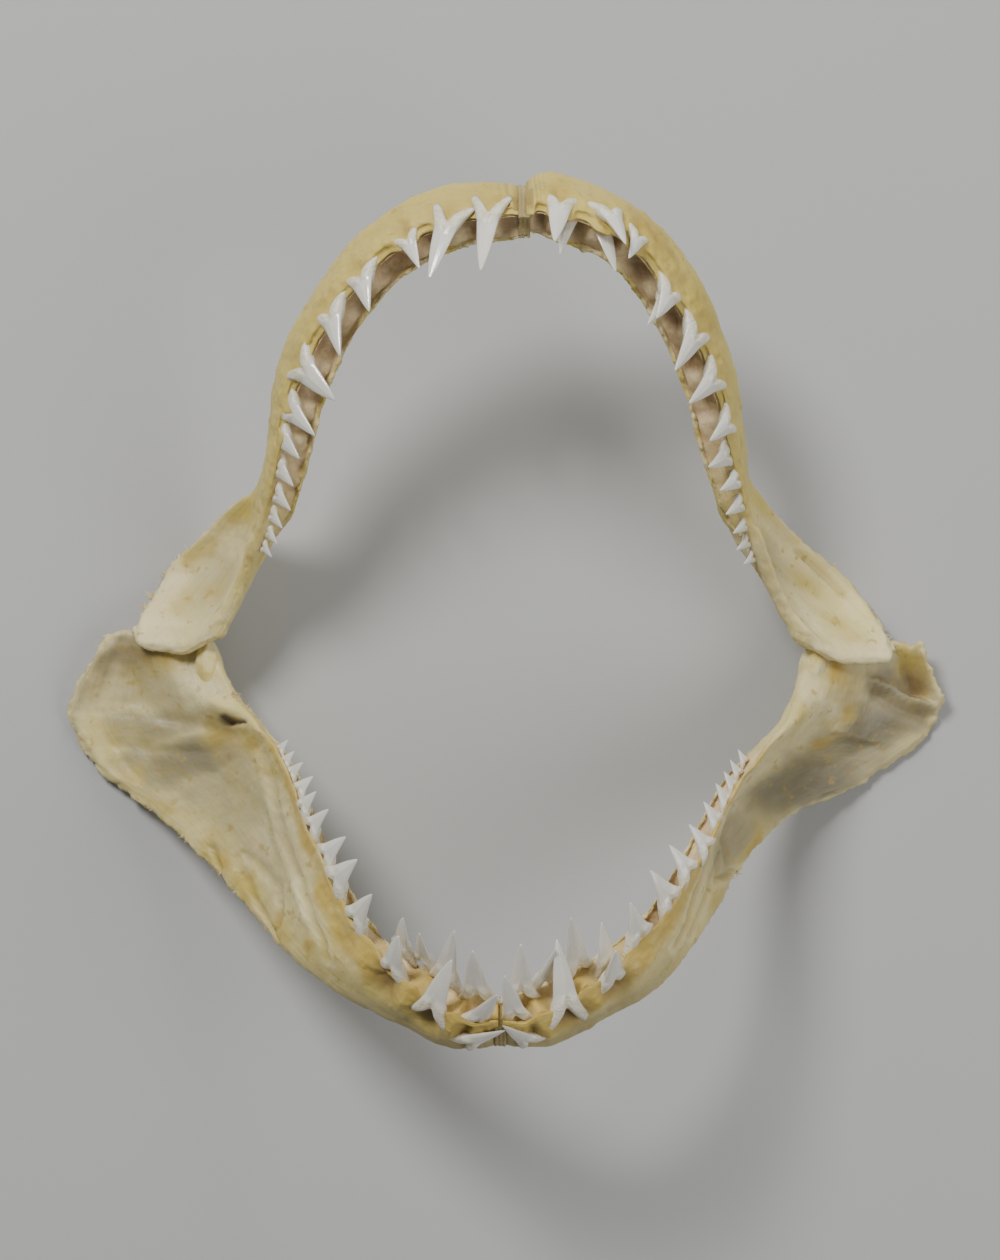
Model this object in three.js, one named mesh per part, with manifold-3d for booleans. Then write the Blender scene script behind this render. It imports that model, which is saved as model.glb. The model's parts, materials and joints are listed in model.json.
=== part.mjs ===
// Dried jaws of a shortfin mako, spread wide open and lying on their back, in millimetres.
// +Z points up out of the mouth, +Y towards the upper jaw and +X to the right as the mouth is faced.
import * as THREE from 'three';
import { mergeVertices } from 'three/addons/utils/BufferGeometryUtils.js';
import Module from 'manifold-3d';

const wasm = await Module();
wasm.setup();

// Driving sizes.
const CLEARANCE = 0.32; // gap kept between touching pieces
const JOINT_CLEARANCE = 0.5; // the same around the joint tissue, where the curves are tight
const JOINT_DETAIL = 0.12; // smallest feature kept on the joint tissue
const RINGS = 27; // cross-sections along each cartilage
const UPPER_OPENING = THREE.MathUtils.degToRad(59); // tilt of the upper tooth row from the line of sight
const LOWER_OPENING = THREE.MathUtils.degToRad(54);
const UPPER_SYMPHYSIS_X = 5.2; // where the two upper cartilages meet, a little right of the middle
const LOWER_SYMPHYSIS_X = -1.7;
const LIGAMENT_WIDTH = 3.4; // fibrous band between the two cartilages of a jaw
const FLOOR_TRIM = 1.8; // how far the resting edges are worn flat
const CROWN_FOOT = 0.3; // share of a tooth's length that is root
const TOOTH_THICKNESS = 0.3; // of the tooth's width
const ROOT_DEPTH = 0.08; // of the cartilage's thickness, from its outer face to the middle of a root
const TOOTH_LIFT = 0.9; // how far the roots stand out from there
const ROUNDED_FROM = 0.82; // where along a cartilage its corners begin to be drawn back

// Each cartilage runs from the symphysis to the jaw joint. crest is the edge that carries the teeth,
// base the far edge: the top rim of the upper jaw, the underside and flared plate of the lower one.
const UPPER_LEFT = {
  crest: [
    [9, 115, 100.5], [-11.5, 113, 98.5], [-27.5, 107.5, 95], [-41, 97.5, 89], [-53.5, 82.5, 80], [-62.5, 65.5, 70],
    [-68, 49.5, 60.5], [-72.5, 34, 51], [-77, 21, 43], [-82, 6, 34.5], [-89.5, -11.5, 28],
  ],
  base: [
    [9, 124.5, 83], [-14.5, 125.5, 81.5], [-33, 118.5, 78], [-48, 106.5, 72], [-60.5, 89, 63], [-69, 69.5, 53],
    [-71, 52.5, 43.5], [-75.5, 39.5, 32], [-89, 28.5, 14], [-104.5, 14, 2.6], [-117, -7.5, 16],
  ],
};
const UPPER_RIGHT = {
  crest: [
    [1, 115, 100.5], [12.5, 114.5, 100], [21.5, 113, 98.5], [34.5, 107.5, 95], [45.5, 95, 87.5], [55, 81, 79],
    [62, 65.5, 70], [67, 51, 61.5], [72.5, 35, 51.5], [77, 20.5, 43], [83.5, 3.5, 33.5], [92.5, -13, 28],
  ],
  base: [
    [1, 124, 83], [12, 128.5, 82.5], [21.5, 126.5, 81.5], [38.5, 118.5, 78], [53.5, 103.5, 71], [63.5, 85.5, 62],
    [69.5, 67.5, 53], [71.5, 53, 44], [75.5, 37, 32], [90, 23, 14], [109, 7.5, 2.2], [122, -13, 16],
  ],
};
const LOWER_LEFT = {
  crest: [
    [3, -119, 100.5], [-14, -117, 98.5], [-28.5, -108.5, 93], [-40, -97, 84.5], [-48.5, -84.5, 75.5],
    [-55.5, -71.5, 66.5], [-62, -56.5, 56], [-68.5, -43, 47], [-75, -32.5, 38], [-83, -23, 29], [-89.5, -9, 20],
  ],
  base: [
    [3, -125, 86], [-16, -126, 83], [-32.5, -119.5, 76], [-48.5, -113, 66], [-62.5, -103.5, 54], [-75.5, -91.5, 41],
    [-89, -77.5, 27], [-106, -63, 13], [-126, -47, 4], [-135.5, -28.5, 6], [-124.5, -4, 10],
  ],
};
const LOWER_RIGHT = {
  crest: [
    [-6, -119, 100.5], [10, -117, 98.5], [24.5, -109, 93.5], [36.5, -99.5, 86.5], [47, -88.5, 78.5],
    [55.5, -76, 70], [63.5, -62.5, 60.5], [71, -49.5, 51], [79, -38.5, 41], [86.5, -27, 31], [92.5, -10, 20],
  ],
  base: [
    [-6, -125, 86], [12, -125.5, 83], [28.5, -118.5, 76], [43, -111.5, 67], [54.5, -100.5, 57], [64, -87.5, 46],
    [74, -73.5, 33], [87.5, -62, 19], [110.5, -51.5, 4.6], [134.5, -30.5, 5], [128, -8, 10],
  ],
};

// How the cross-section changes from the symphysis to the joint, read off evenly along the cartilage.
// thick: across the bar. bulge: swelling of the outer face. hollow: dish of the muscle plate.
// groove: depth of the trench behind the teeth. rim: how far the inner wall stays below the tooth edge.
// corners: how far the far end is drawn back at the tooth edge and at the base, and put out between them.
const UPPER_FORM = {
  thick: [10, 11.5, 12, 11.5, 11.5, 11.5, 11, 10, 7, 6, 5],
  bulge: [1.5, 2, 2.2, 2.2, 2, 1.6, 1.2, 0.6, 0, 0, 0.4],
  hollow: [0, 0, 0, 0, 0, 0, 0, 0.5, 3.4, 4.2, 1],
  groove: [3.5, 5, 5.5, 5.5, 5.5, 5, 4, 2, 0.8, 0.6, 0.6],
  rim: [4, 4, 4, 3.5, 3, 2.5, 2, 1.2, 0.5, 0.3, 0.3],
  corners: [7, 3.6, 1],
};
const LOWER_FORM = {
  thick: [10, 12, 11.5, 9.5, 8, 7, 6.5, 6.5, 6.5, 6.2, 5],
  bulge: [0.5, 1, 1.6, 1.8, 1.4, 0.4, 0, 0, 0, 0, 0],
  hollow: [0, 0, 0, 0, 0, 1.5, 4, 6, 7.5, 8, 2],
  groove: [1.6, 2, 2.2, 3, 4.5, 4.5, 4, 3, 1, 0.6, 0.6],
  rim: [2, 2.4, 2.6, 2.8, 2.5, 2, 2, 1.5, 0.6, 0.3, 0.3],
  corners: [1, 2, 0],
};

// The teeth of each cartilage, front row first: distance along the tooth edge from the symphysis, how far
// behind the edge and how far down the outer face the root sits, length, width, and two turns in degrees:
// inwards over the trench, and away from the symphysis.
const UPPER_LEFT_TEETH = [
  [10, 0, 0, 27, 12, 28, 9], [22.5, 0, 0, 26, 13.5, 28, 26], [35, 0, 0, 15, 9.5, 26, -6],
  [53, 0, 0, 17, 14, 22, 8], [68, 0, 0, 20, 15.5, 20, 16], [87, 0.5, 0, 21.5, 15.5, 37, 4],
  [101.5, 1.6, -0.2, 17, 13, 34, 3], [111.5, 1.6, -0.1, 13, 11.5, 27, 1],
  [121.5, 2.7, -0.1, 11, 10, 30, 4], [130.5, 3.9, -0.2, 9.8, 9, 32, 5], [137.9, 4.2, -0.3, 8, 7.5, 31, 6],
  [143.9, 4.9, -0.4, 7, 6.5, 32, 6], [149.6, 5, -0.6, 6, 5.5, 33, 6],
];
const UPPER_RIGHT_TEETH = [
  [10, -1.2, 2.8, 23, 12.5, 9, -2], [24, -2.3, 4.5, 20.5, 14, -1, 25], [33.5, -1.4, 2.7, 15.5, 9.5, 12, 1],
  [52, 0, 0, 17, 13.5, 18, 6], [68, 0, 0, 20, 15.5, 28, 14], [83, 0, 0, 18, 14, 34, 6],
  [98.7, 0, 0, 14.8, 12.5, 28, 3], [109, 2.8, -0.1, 12, 11, 34, 1], [118, 2.4, 0, 10.8, 10, 33, 2],
  [126.2, 3.3, -0.1, 9.6, 9, 34, 4], [134, 3.9, -0.2, 8, 7.5, 32, 5], [140, 4.8, -0.4, 7, 6.5, 32, 5],
  [145.5, 4.8, -0.4, 6, 5.5, 32, 5], [13, 3.6, 3.6, 20.5, 10.5, 15, 1], [23.5, 2.8, 5.1, 21.5, 11, 26, 32],
  [54, 4, 1.8, 15, 10, 30, 6],
];
const LOWER_LEFT_TEETH = [
  [8, -1.1, 8.8, 20, 11, -5, -49], [7, 2.5, 0.4, 22, 12, -2, -22], [21, 0.9, -0.5, 26.5, 15, 17, -4],
  [38.5, 1.2, -2.4, 21.5, 15, 4, 1], [58.5, 1, -2.6, 18.5, 15, 13, -2], [73, 1, -3, 18.5, 15, 18, -6],
  [83, 2.2, -2.2, 15.6, 13, 23, -6], [94.3, 1.7, -1.8, 13, 11, 24, -1], [101.6, 1.4, -1.2, 11, 9.5, 25, 3],
  [108.4, 2.8, -1.2, 9.4, 8.5, 31, 3], [114.2, 2.9, -0.7, 8.3, 7.5, 30, 3],
  [119.2, 2.8, -0.7, 7.2, 6.5, 28, 4], [124.4, 3.1, -1, 6.4, 5.5, 28, 5], [9, 9.4, -4.2, 26, 13.5, 2, 7],
  [24.5, 9.6, -5.5, 29, 14, 4, -2], [34.5, 9.6, -3.8, 22, 12, -9, 2], [43.5, 7.4, -4, 22, 12.5, -2, -1],
];
const LOWER_RIGHT_TEETH = [
  [7, -0.8, 8.5, 18.5, 11, -9, -38], [4.5, 3.9, -1.3, 23, 12, 8, -9], [21, 1.3, -1, 30, 15, 27, 12],
  [37, -0.1, 0.2, 21.5, 15, -8, 1], [53, 2.2, -4.2, 18, 15, 9, -3], [68.8, 2.5, -2.2, 18, 14.5, 23, -7],
  [80, 2.2, -2.1, 15.4, 13, 30, -4], [90.2, 1.1, -1.5, 13, 11, 30, -1], [99.8, 2, -1.2, 11, 9.5, 30, 2],
  [107.8, 2.4, -0.8, 9.2, 8.5, 30, 4], [113.4, 2.8, -0.4, 8.2, 7.5, 29, 3],
  [118.8, 3.4, -0.5, 7.4, 6.5, 29, 4], [124.3, 4, -0.8, 6.4, 5.5, 28, 5], [8, 9.8, -4.6, 26, 13.5, 8, 4],
  [32, 8.8, -3.9, 29, 14, 4, 1], [20, 10.4, -3.8, 21, 12, -9, 11], [40.5, 5.7, 0.8, 21.5, 12.5, 11, 7],
];

const seededSpread = (seed) => () => {
  seed = (seed * 1664525 + 1013904223) % 4294967296;
  return seed / 2147483648 - 1;
};

// Reads a list of values evenly spaced over 0 to 1, smoothly.
function along(list, s) {
  const place = THREE.MathUtils.clamp(s, 0, 1) * (list.length - 1);
  const i = Math.min(Math.floor(place), list.length - 2);
  const [before, here, next, after] =
    [i - 1, i, i + 1, i + 2].map((k) => list[THREE.MathUtils.clamp(k, 0, list.length - 1)]);
  const t = place - i;
  const slope = 0.5 * (next - before);
  const slopeNext = 0.5 * (after - here);
  return here + t * (slope + t * (3 * (next - here) - 2 * slope - slopeNext
    + t * (2 * (here - next) + slope + slopeNext)));
}

const rail = (points) => new THREE.CatmullRomCurve3(points.map((p) => new THREE.Vector3(...p)), false, 'centripetal');

// The cross-section as points (down from the tooth edge, inwards from the outer face).
function section(form, height, s) {
  const [thick, bulge, hollow, groove, rim] =
    ['thick', 'bulge', 'hollow', 'groove', 'rim'].map((name) => along(form[name], s));
  const wall = 0.17 * thick;
  const lip = 0.12 * thick;
  const dished = ([down, inwards]) =>
    [down, inwards + hollow * Math.sin(Math.PI * THREE.MathUtils.clamp(down / height, 0, 1))];
  return [
    [-0.6, 0.5 * wall],
    [0.9, 0],
    [0.2 * height, -0.7 * bulge],
    [0.45 * height, -bulge],
    [0.72 * height, -0.8 * bulge],
    [0.92 * height, -0.3 * bulge - 0.3],
    [height + 0.4, 0.14 * thick],
    [height + 0.5, 0.5 * thick],
    [0.94 * height, 0.84 * thick],
    [0.56 * height, thick],
    [0.34 * height, thick],
    [rim + 0.8, thick],
    [rim, thick - 0.5 * lip],
    [rim + 0.6, thick - 0.9 * lip],
    [groove * 0.8 + rim * 0.2 + 0.2, thick - 1.1 * lip],
    [groove, 0.5 * (wall + thick - lip)],
    [groove * 0.6, wall + 0.05 * thick],
    [0.8, wall],
  ].map(dished);
}

// The frame of a cartilage at s: its tooth edge, the way down to the base, inwards and backwards.
function frameAt(jaw, asked) {
  const s = Math.min(asked, 1);
  const crest = jaw.crestRail.getPoint(s);
  const base = jaw.baseRail.getPoint(s);
  const down = base.clone().sub(crest);
  const height = down.length();
  down.normalize();
  const back = jaw.crestRail.getTangent(s);
  const inwards = new THREE.Vector3().crossVectors(back, down).normalize().multiplyScalar(jaw.turn);
  crest.addScaledVector(back, (asked - s) * jaw.length);
  return { crest, down, inwards, back, height };
}

// Where along the cartilage the point at this depth sits, with the corners of its far end rounded off.
function drawnBack(jaw, s, depth) {
  const { smoothstep } = THREE.MathUtils;
  const [atEdge, atBase, between] = jaw.form.corners;
  const pull = atEdge * (1 - smoothstep(depth, 0, 0.4)) ** 1.5 + atBase * smoothstep(depth, 0.72, 1) ** 1.5 - between;
  return s - smoothstep(s, ROUNDED_FROM, 1) * pull / jaw.length;
}

// A closed mesh through rings of points, its two ends filled.
function closedLoft(rings, outline) {
  const count = rings[0].length;
  const positions = rings.flat().flatMap((p) => [p.x, p.y, p.z]);
  const faces = [];
  for (let r = 0; r < rings.length - 1; r++) {
    for (let i = 0; i < count; i++) {
      const a = r * count + i;
      const b = r * count + ((i + 1) % count);
      faces.push([a, b, b + count], [a, b + count, a + count]);
    }
  }
  const last = (rings.length - 1) * count;
  for (const [a, b, c] of THREE.ShapeUtils.triangulateShape(outline(0), [])) faces.push([c, b, a]);
  for (const [a, b, c] of THREE.ShapeUtils.triangulateShape(outline(1), [])) {
    faces.push([last + a, last + b, last + c]);
  }
  return facingOut(positions, faces);
}

// Builds the geometry and turns its faces round where it is inside out.
function facingOut(positions, faces) {
  const geometry = new THREE.BufferGeometry();
  geometry.setAttribute('position', new THREE.Float32BufferAttribute(positions, 3));
  const [a, b, c] = [new THREE.Vector3(), new THREE.Vector3(), new THREE.Vector3()];
  const point = (target, i) => target.fromArray(positions, 3 * i);
  const volume = faces.reduce((sum, [i, j, k]) => sum + point(a, i).dot(point(b, j).cross(point(c, k))), 0);
  geometry.setIndex((volume < 0 ? faces.map(([i, j, k]) => [k, j, i]) : faces).flat());
  return geometry;
}

// One cartilage: the cross-section swept between its two edges, rounded off at the joint.
function cartilageGeometry(jaw, grow = 0) {
  const ring = (s, squeeze = 1, push = 0) => {
    const { height } = frameAt(jaw, s);
    const middle = 0.5 * along(jaw.form.thick, s);
    return section(jaw.form, height, s).map(([d, n]) => {
      const { crest, down, inwards, back } = frameAt(jaw, drawnBack(jaw, s, d / height));
      return crest.clone()
        .addScaledVector(down, height / 2 + (d - height / 2) * (0.5 + 0.5 * squeeze))
        .addScaledVector(inwards, middle + (n - middle) * squeeze)
        .addScaledVector(back, push);
    });
  };
  const rings = [];
  for (let i = 0; i <= RINGS; i++) rings.push(ring(i / RINGS));
  rings.push(ring(1, 0.55, 1.3));
  const outline = (s) => section(jaw.form, frameAt(jaw, s).height, s).map(([d, n]) => new THREE.Vector2(d, n));
  const geometry = closedLoft(rings, outline);
  return grow ? grown(geometry, grow) : geometry;
}

// The same mesh with every vertex moved outwards.
function grown(geometry, distance) {
  geometry.computeVertexNormals();
  const { position, normal } = geometry.attributes;
  for (let i = 0; i < position.count; i++) {
    position.setXYZ(
      i,
      position.getX(i) + distance * normal.getX(i),
      position.getY(i) + distance * normal.getY(i),
      position.getZ(i) + distance * normal.getZ(i),
    );
  }
  geometry.deleteAttribute('normal');
  return geometry;
}

// A mako tooth, tip along +Z from its two root lobes, outer face towards -Y: rows of left edge, middle, right edge.
function toothGeometry(long, wide) {
  const thick = TOOTH_THICKNESS * wide;
  const rows = [
    { edge: 0, middle: 0.22, half: 0.5, deep: 0.5 },
    { edge: 0.15, middle: 0.28, half: 0.44, deep: 0.6 },
    { edge: 0.31, middle: 0.38, half: 0.29, deep: 0.55 },
    { edge: 0.55, middle: 0.56, half: 0.2, deep: 0.42 },
    { edge: 0.8, middle: 0.8, half: 0.115, deep: 0.24 },
  ];
  const curl = (z) => thick * 0.75 * Math.max(0, z - 0.35) ** 1.5;
  const positions = [];
  for (const { edge, middle, half, deep } of rows) {
    positions.push(-half * wide, curl(edge), edge * long);
    positions.push(half * wide, curl(edge), edge * long);
    positions.push(0, curl(middle) - deep * thick, middle * long);
    positions.push(0, curl(middle) + deep * thick, middle * long);
  }
  positions.push(0, curl(1) - 0.1 * thick, long);
  const tip = 4 * rows.length;
  const faces = [[0, 2, 3], [1, 3, 2]];
  for (let r = 0; r < rows.length - 1; r++) {
    const [left, right, outer, inner] = [4 * r, 4 * r + 1, 4 * r + 2, 4 * r + 3];
    for (const [a, b] of [[left, outer], [outer, right], [right, inner], [inner, left]]) {
      faces.push([a, b, b + 4], [a, b + 4, a + 4]);
    }
  }
  const [left, right, outer, inner] = [tip - 4, tip - 3, tip - 2, tip - 1];
  faces.push([left, outer, tip], [outer, right, tip], [right, inner, tip], [inner, left, tip]);
  faces[0].reverse();
  faces[1].reverse();
  return facingOut(positions, faces);
}

// Where the tooth edge is a given distance from the symphysis.
function edgeAt(jaw, distance) {
  const steps = 400;
  let travelled = -jaw.lead;
  let before = jaw.crestRail.getPoint(0);
  for (let i = 1; i <= steps; i++) {
    const here = jaw.crestRail.getPoint(i / steps);
    travelled += here.distanceTo(before);
    if (travelled >= distance) return i / steps;
    before = here;
  }
  return 1;
}

// One tooth, its root sunk into the tooth edge or, for those still moving up, into the floor of the trench.
function placedTooth(jaw, [at, behind, below, length, width, over, away], vary) {
  const s = edgeAt(jaw, at);
  const { crest, down, inwards, back } = frameAt(jaw, s);
  const long = length * (1 + 0.02 * vary());
  const wide = width * (1 + 0.03 * vary());
  const tilt = THREE.MathUtils.degToRad(over + 1.5 * vary());
  const lean = THREE.MathUtils.degToRad(away + 1.5 * vary());
  const lingual = new THREE.Vector3().crossVectors(back, jaw.bite).normalize().multiplyScalar(-jaw.turn);
  const tip = jaw.bite.clone().multiplyScalar(Math.cos(tilt)).addScaledVector(lingual, Math.sin(tilt))
    .multiplyScalar(Math.cos(lean)).addScaledVector(back, Math.sin(lean)).normalize();
  const side = back.clone().addScaledVector(tip, -back.dot(tip)).normalize();
  const faceIn = new THREE.Vector3().crossVectors(tip, side);
  if (faceIn.dot(lingual) < 0) {
    side.negate();
    faceIn.negate();
  }
  const foot = crest.clone()
    .addScaledVector(inwards, ROOT_DEPTH * along(jaw.form.thick, s) + behind - TOOTH_LIFT)
    .addScaledVector(down, 0.4 + below)
    .addScaledVector(tip, -CROWN_FOOT * long);
  return toothGeometry(long, wide).applyMatrix4(new THREE.Matrix4().makeBasis(side, faceIn, tip).setPosition(foot));
}

function solid(geometry) {
  const bare = geometry.clone();
  bare.deleteAttribute('normal');
  bare.deleteAttribute('uv');
  const merged = mergeVertices(bare, 1e-4);
  return new wasm.Manifold(new wasm.Mesh({
    numProp: 3,
    vertProperties: Float32Array.from(merged.attributes.position.array),
    triVerts: Uint32Array.from(merged.index.array),
  }));
}

const largest = (shape) => shape.decompose().reduce((a, b) => (a.volume() > b.volume() ? a : b));

function block(low, high) {
  const size = high.map((v, i) => v - low[i]);
  const geometry = new THREE.BoxGeometry(...size);
  return solid(geometry.translate(...high.map((v, i) => (v + low[i]) / 2)));
}

const FAR = 400;
const floor = block([-FAR, -FAR, -FAR], [FAR, FAR, FLOOR_TRIM]);
const leftOf = (x) => block([-FAR, -FAR, -FAR], [x, FAR, FAR]);
const rightOf = (x) => block([x, -FAR, -FAR], [FAR, FAR, FAR]);

function jawHalf(points, form, teeth, opening, side, isUpper, symphysisX) {
  const crestRail = rail(points.crest);
  const jaw = {
    crestRail,
    baseRail: rail(points.base),
    form,
    teeth,
    side,
    turn: (isUpper ? -1 : 1) * side,
    bite: new THREE.Vector3(0, (isUpper ? -1 : 1) * Math.cos(opening), Math.sin(opening)),
    symphysisX,
    lead: 0,
    length: crestRail.getLength(),
  };
  jaw.lead = Math.abs(crestRail.getPoint(0).x - symphysisX);
  return jaw;
}

const jaws = {
  upper_jaw_left: jawHalf(UPPER_LEFT, UPPER_FORM, UPPER_LEFT_TEETH, UPPER_OPENING, -1, true, UPPER_SYMPHYSIS_X),
  upper_jaw_right: jawHalf(UPPER_RIGHT, UPPER_FORM, UPPER_RIGHT_TEETH, UPPER_OPENING, 1, true, UPPER_SYMPHYSIS_X),
  lower_jaw_left: jawHalf(LOWER_LEFT, LOWER_FORM, LOWER_LEFT_TEETH, LOWER_OPENING, -1, false, LOWER_SYMPHYSIS_X),
  lower_jaw_right: jawHalf(LOWER_RIGHT, LOWER_FORM, LOWER_RIGHT_TEETH, LOWER_OPENING, 1, false, LOWER_SYMPHYSIS_X),
};

// A cartilage seated against its opposite at the joint, with its teeth fused on, cut square at the symphysis.
function jawSolid(name, seat) {
  const jaw = jaws[name];
  const gap = LIGAMENT_WIDTH / 2 + CLEARANCE;
  const half = jaw.side < 0 ? leftOf(jaw.symphysisX - gap) : rightOf(jaw.symphysisX + gap);
  let body = solid(cartilageGeometry(jaw));
  if (seat) body = body.subtract(seat);
  body = largest(body.subtract(floor).intersect(half));
  const vary = seededSpread(name.length * 977 + (jaw.side > 0 ? 5 : 0));
  for (const tooth of jaw.teeth) body = body.add(solid(placedTooth(jaw, tooth, vary)));
  return largest(body.intersect(half));
}

// The fibrous band between the two cartilages of one jaw.
function symphysisSolid(name) {
  const jaw = jaws[name];
  const half = LIGAMENT_WIDTH / 2;
  const band = solid(cartilageGeometry(jaw));
  const slab = block([jaw.symphysisX - half, -FAR, -FAR], [jaw.symphysisX + half, FAR, FAR]);
  return largest(band.intersect(slab));
}

// Dried capsule tissue that wraps the inner side of a jaw joint.
function capsuleSolid(side, upper, lower) {
  const x = 0.5 * (jaws[upper].crestRail.getPoint(1).x + jaws[lower].crestRail.getPoint(1).x);
  const blob = new THREE.SphereGeometry(1, 14, 9);
  blob.scale(3.6, 11, 6).rotateZ(side * -0.3).translate(x - side * 0.6, -16, 20);
  return largest(
    solid(blob)
      .subtract(solid(cartilageGeometry(jaws[upper], JOINT_CLEARANCE)))
      .subtract(solid(cartilageGeometry(jaws[lower], JOINT_CLEARANCE))),
  ).simplify(JOINT_DETAIL);
}

const materials = {
  cartilage: new THREE.MeshStandardMaterial({ color: 0xd9cb9c, roughness: 0.55, metalness: 0 }),
  ligament: new THREE.MeshStandardMaterial({ color: 0xbfa468, roughness: 0.6, metalness: 0 }),
};

const part = new THREE.Group();

function addPiece(name, shape, material) {
  const mesh = shape.getMesh();
  const geometry = new THREE.BufferGeometry();
  geometry.setAttribute('position', new THREE.BufferAttribute(Float32Array.from(mesh.vertProperties), 3));
  geometry.setIndex(new THREE.BufferAttribute(Uint32Array.from(mesh.triVerts), 1));
  geometry.computeVertexNormals();
  const piece = new THREE.Mesh(geometry, material);
  piece.name = name;
  part.add(piece);
}

for (const [side, word] of [[-1, 'left'], [1, 'right']]) {
  const [upper, lower] = [`upper_jaw_${word}`, `lower_jaw_${word}`];
  addPiece(upper, jawSolid(upper), materials.cartilage);
  addPiece(lower, jawSolid(lower, solid(cartilageGeometry(jaws[upper], CLEARANCE))), materials.cartilage);
  addPiece(`jaw_joint_${word}`, capsuleSolid(side, upper, lower), materials.ligament);
}
addPiece('upper_symphysis', symphysisSolid('upper_jaw_left'), materials.ligament);
addPiece('lower_symphysis', symphysisSolid('lower_jaw_left'), materials.ligament);

// The origin is the middle of the resting outline, on the floor.
part.updateMatrixWorld(true);
const extent = new THREE.Box3().setFromObject(part);
const middle = extent.getCenter(new THREE.Vector3());
part.children.forEach((piece) => piece.geometry.translate(-middle.x, -middle.y, -FLOOR_TRIM));

export default part;
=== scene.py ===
"""Dried jaws of a mako shark, spread wide and lying on their back: the looks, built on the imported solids."""

import json
import math

import bmesh
import bpy
import numpy as np
from mathutils import Matrix, Vector, noise

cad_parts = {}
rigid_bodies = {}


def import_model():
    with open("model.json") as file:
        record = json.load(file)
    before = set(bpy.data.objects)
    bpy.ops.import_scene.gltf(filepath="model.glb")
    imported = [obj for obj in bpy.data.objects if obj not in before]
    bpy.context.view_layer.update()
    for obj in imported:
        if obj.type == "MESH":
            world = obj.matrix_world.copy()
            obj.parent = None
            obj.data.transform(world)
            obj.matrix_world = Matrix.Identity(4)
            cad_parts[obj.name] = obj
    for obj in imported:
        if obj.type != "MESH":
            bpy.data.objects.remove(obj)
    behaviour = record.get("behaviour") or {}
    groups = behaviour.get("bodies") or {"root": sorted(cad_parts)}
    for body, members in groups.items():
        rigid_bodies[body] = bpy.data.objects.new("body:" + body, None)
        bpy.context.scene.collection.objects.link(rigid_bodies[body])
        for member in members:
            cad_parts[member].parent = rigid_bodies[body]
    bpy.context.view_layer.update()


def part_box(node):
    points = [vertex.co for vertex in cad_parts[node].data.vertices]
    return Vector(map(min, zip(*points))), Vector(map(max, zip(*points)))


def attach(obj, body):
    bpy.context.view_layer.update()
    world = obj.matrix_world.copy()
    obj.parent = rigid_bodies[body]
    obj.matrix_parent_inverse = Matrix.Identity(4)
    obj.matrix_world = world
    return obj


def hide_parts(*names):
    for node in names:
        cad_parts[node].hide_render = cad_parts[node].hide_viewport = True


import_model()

bl_info = {
    "name": "Dried Mako Jaw",
    "version": (1, 0, 0),
    "blender": (4, 5, 0),
    "location": "3D View > Sidebar > Jaw",
    "description": "Builds the dried open jaws of a mako shark piece by piece",
    "category": "Object",
}

# Design sizes in millimetres. The pieces are drawn in this frame and moved to the model's by MIDDLE.
MM = 0.001
CLEARANCE = 0.32
LIGAMENT_WIDTH = 3.4
FLOOR_TRIM = 1.8
CROWN_FOOT = 0.3
TOOTH_LIFT = 0.9
SYMPHYSIS_LAP = 1.1
ROOT_DEPTH = 0.08
UPPER_SYMPHYSIS_X = 5.2
LOWER_SYMPHYSIS_X = -1.7
UPPER_OPENING = math.radians(59)
LOWER_OPENING = math.radians(54)
MIDDLE = np.array([-0.464, 0.3638, FLOOR_TRIM])

# The sweep of a cartilage: rings along it, points to each corner of its section, rings that round its end.
RINGS = 300
STEPS = 6
END_RINGS = 6
# Places on the tooth edge that are measured for distances along it.
TRACK_STEPS = 400

UPPER_LEFT = {
    "crest": [
        [9, 115, 100.5], [-11.5, 113, 98.5], [-27.5, 107.5, 95], [-41, 97.5, 89], [-53.5, 82.5, 80],
        [-62.5, 65.5, 70], [-68, 49.5, 60.5], [-72.5, 34, 51], [-77, 21, 43], [-82, 6, 34.5],
        [-89.5, -11.5, 28],
    ],
    "base": [
        [9, 124.5, 83], [-14.5, 125.5, 81.5], [-33, 118.5, 78], [-48, 106.5, 72], [-60.5, 89, 63],
        [-69, 69.5, 53], [-71, 52.5, 43.5], [-75.5, 39.5, 32], [-89, 28.5, 14], [-104.5, 14, 2.6],
        [-117, -7.5, 16],
    ],
}
UPPER_RIGHT = {
    "crest": [
        [1, 115, 100.5], [12.5, 114.5, 100], [21.5, 113, 98.5], [34.5, 107.5, 95], [45.5, 95, 87.5],
        [55, 81, 79], [62, 65.5, 70], [67, 51, 61.5], [72.5, 35, 51.5], [77, 20.5, 43], [83.5, 3.5, 33.5],
        [92.5, -13, 28],
    ],
    "base": [
        [1, 124, 83], [12, 128.5, 82.5], [21.5, 126.5, 81.5], [38.5, 118.5, 78], [53.5, 103.5, 71],
        [63.5, 85.5, 62], [69.5, 67.5, 53], [71.5, 53, 44], [75.5, 37, 32], [90, 23, 14], [109, 7.5, 2.2],
        [122, -13, 16],
    ],
}
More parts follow.
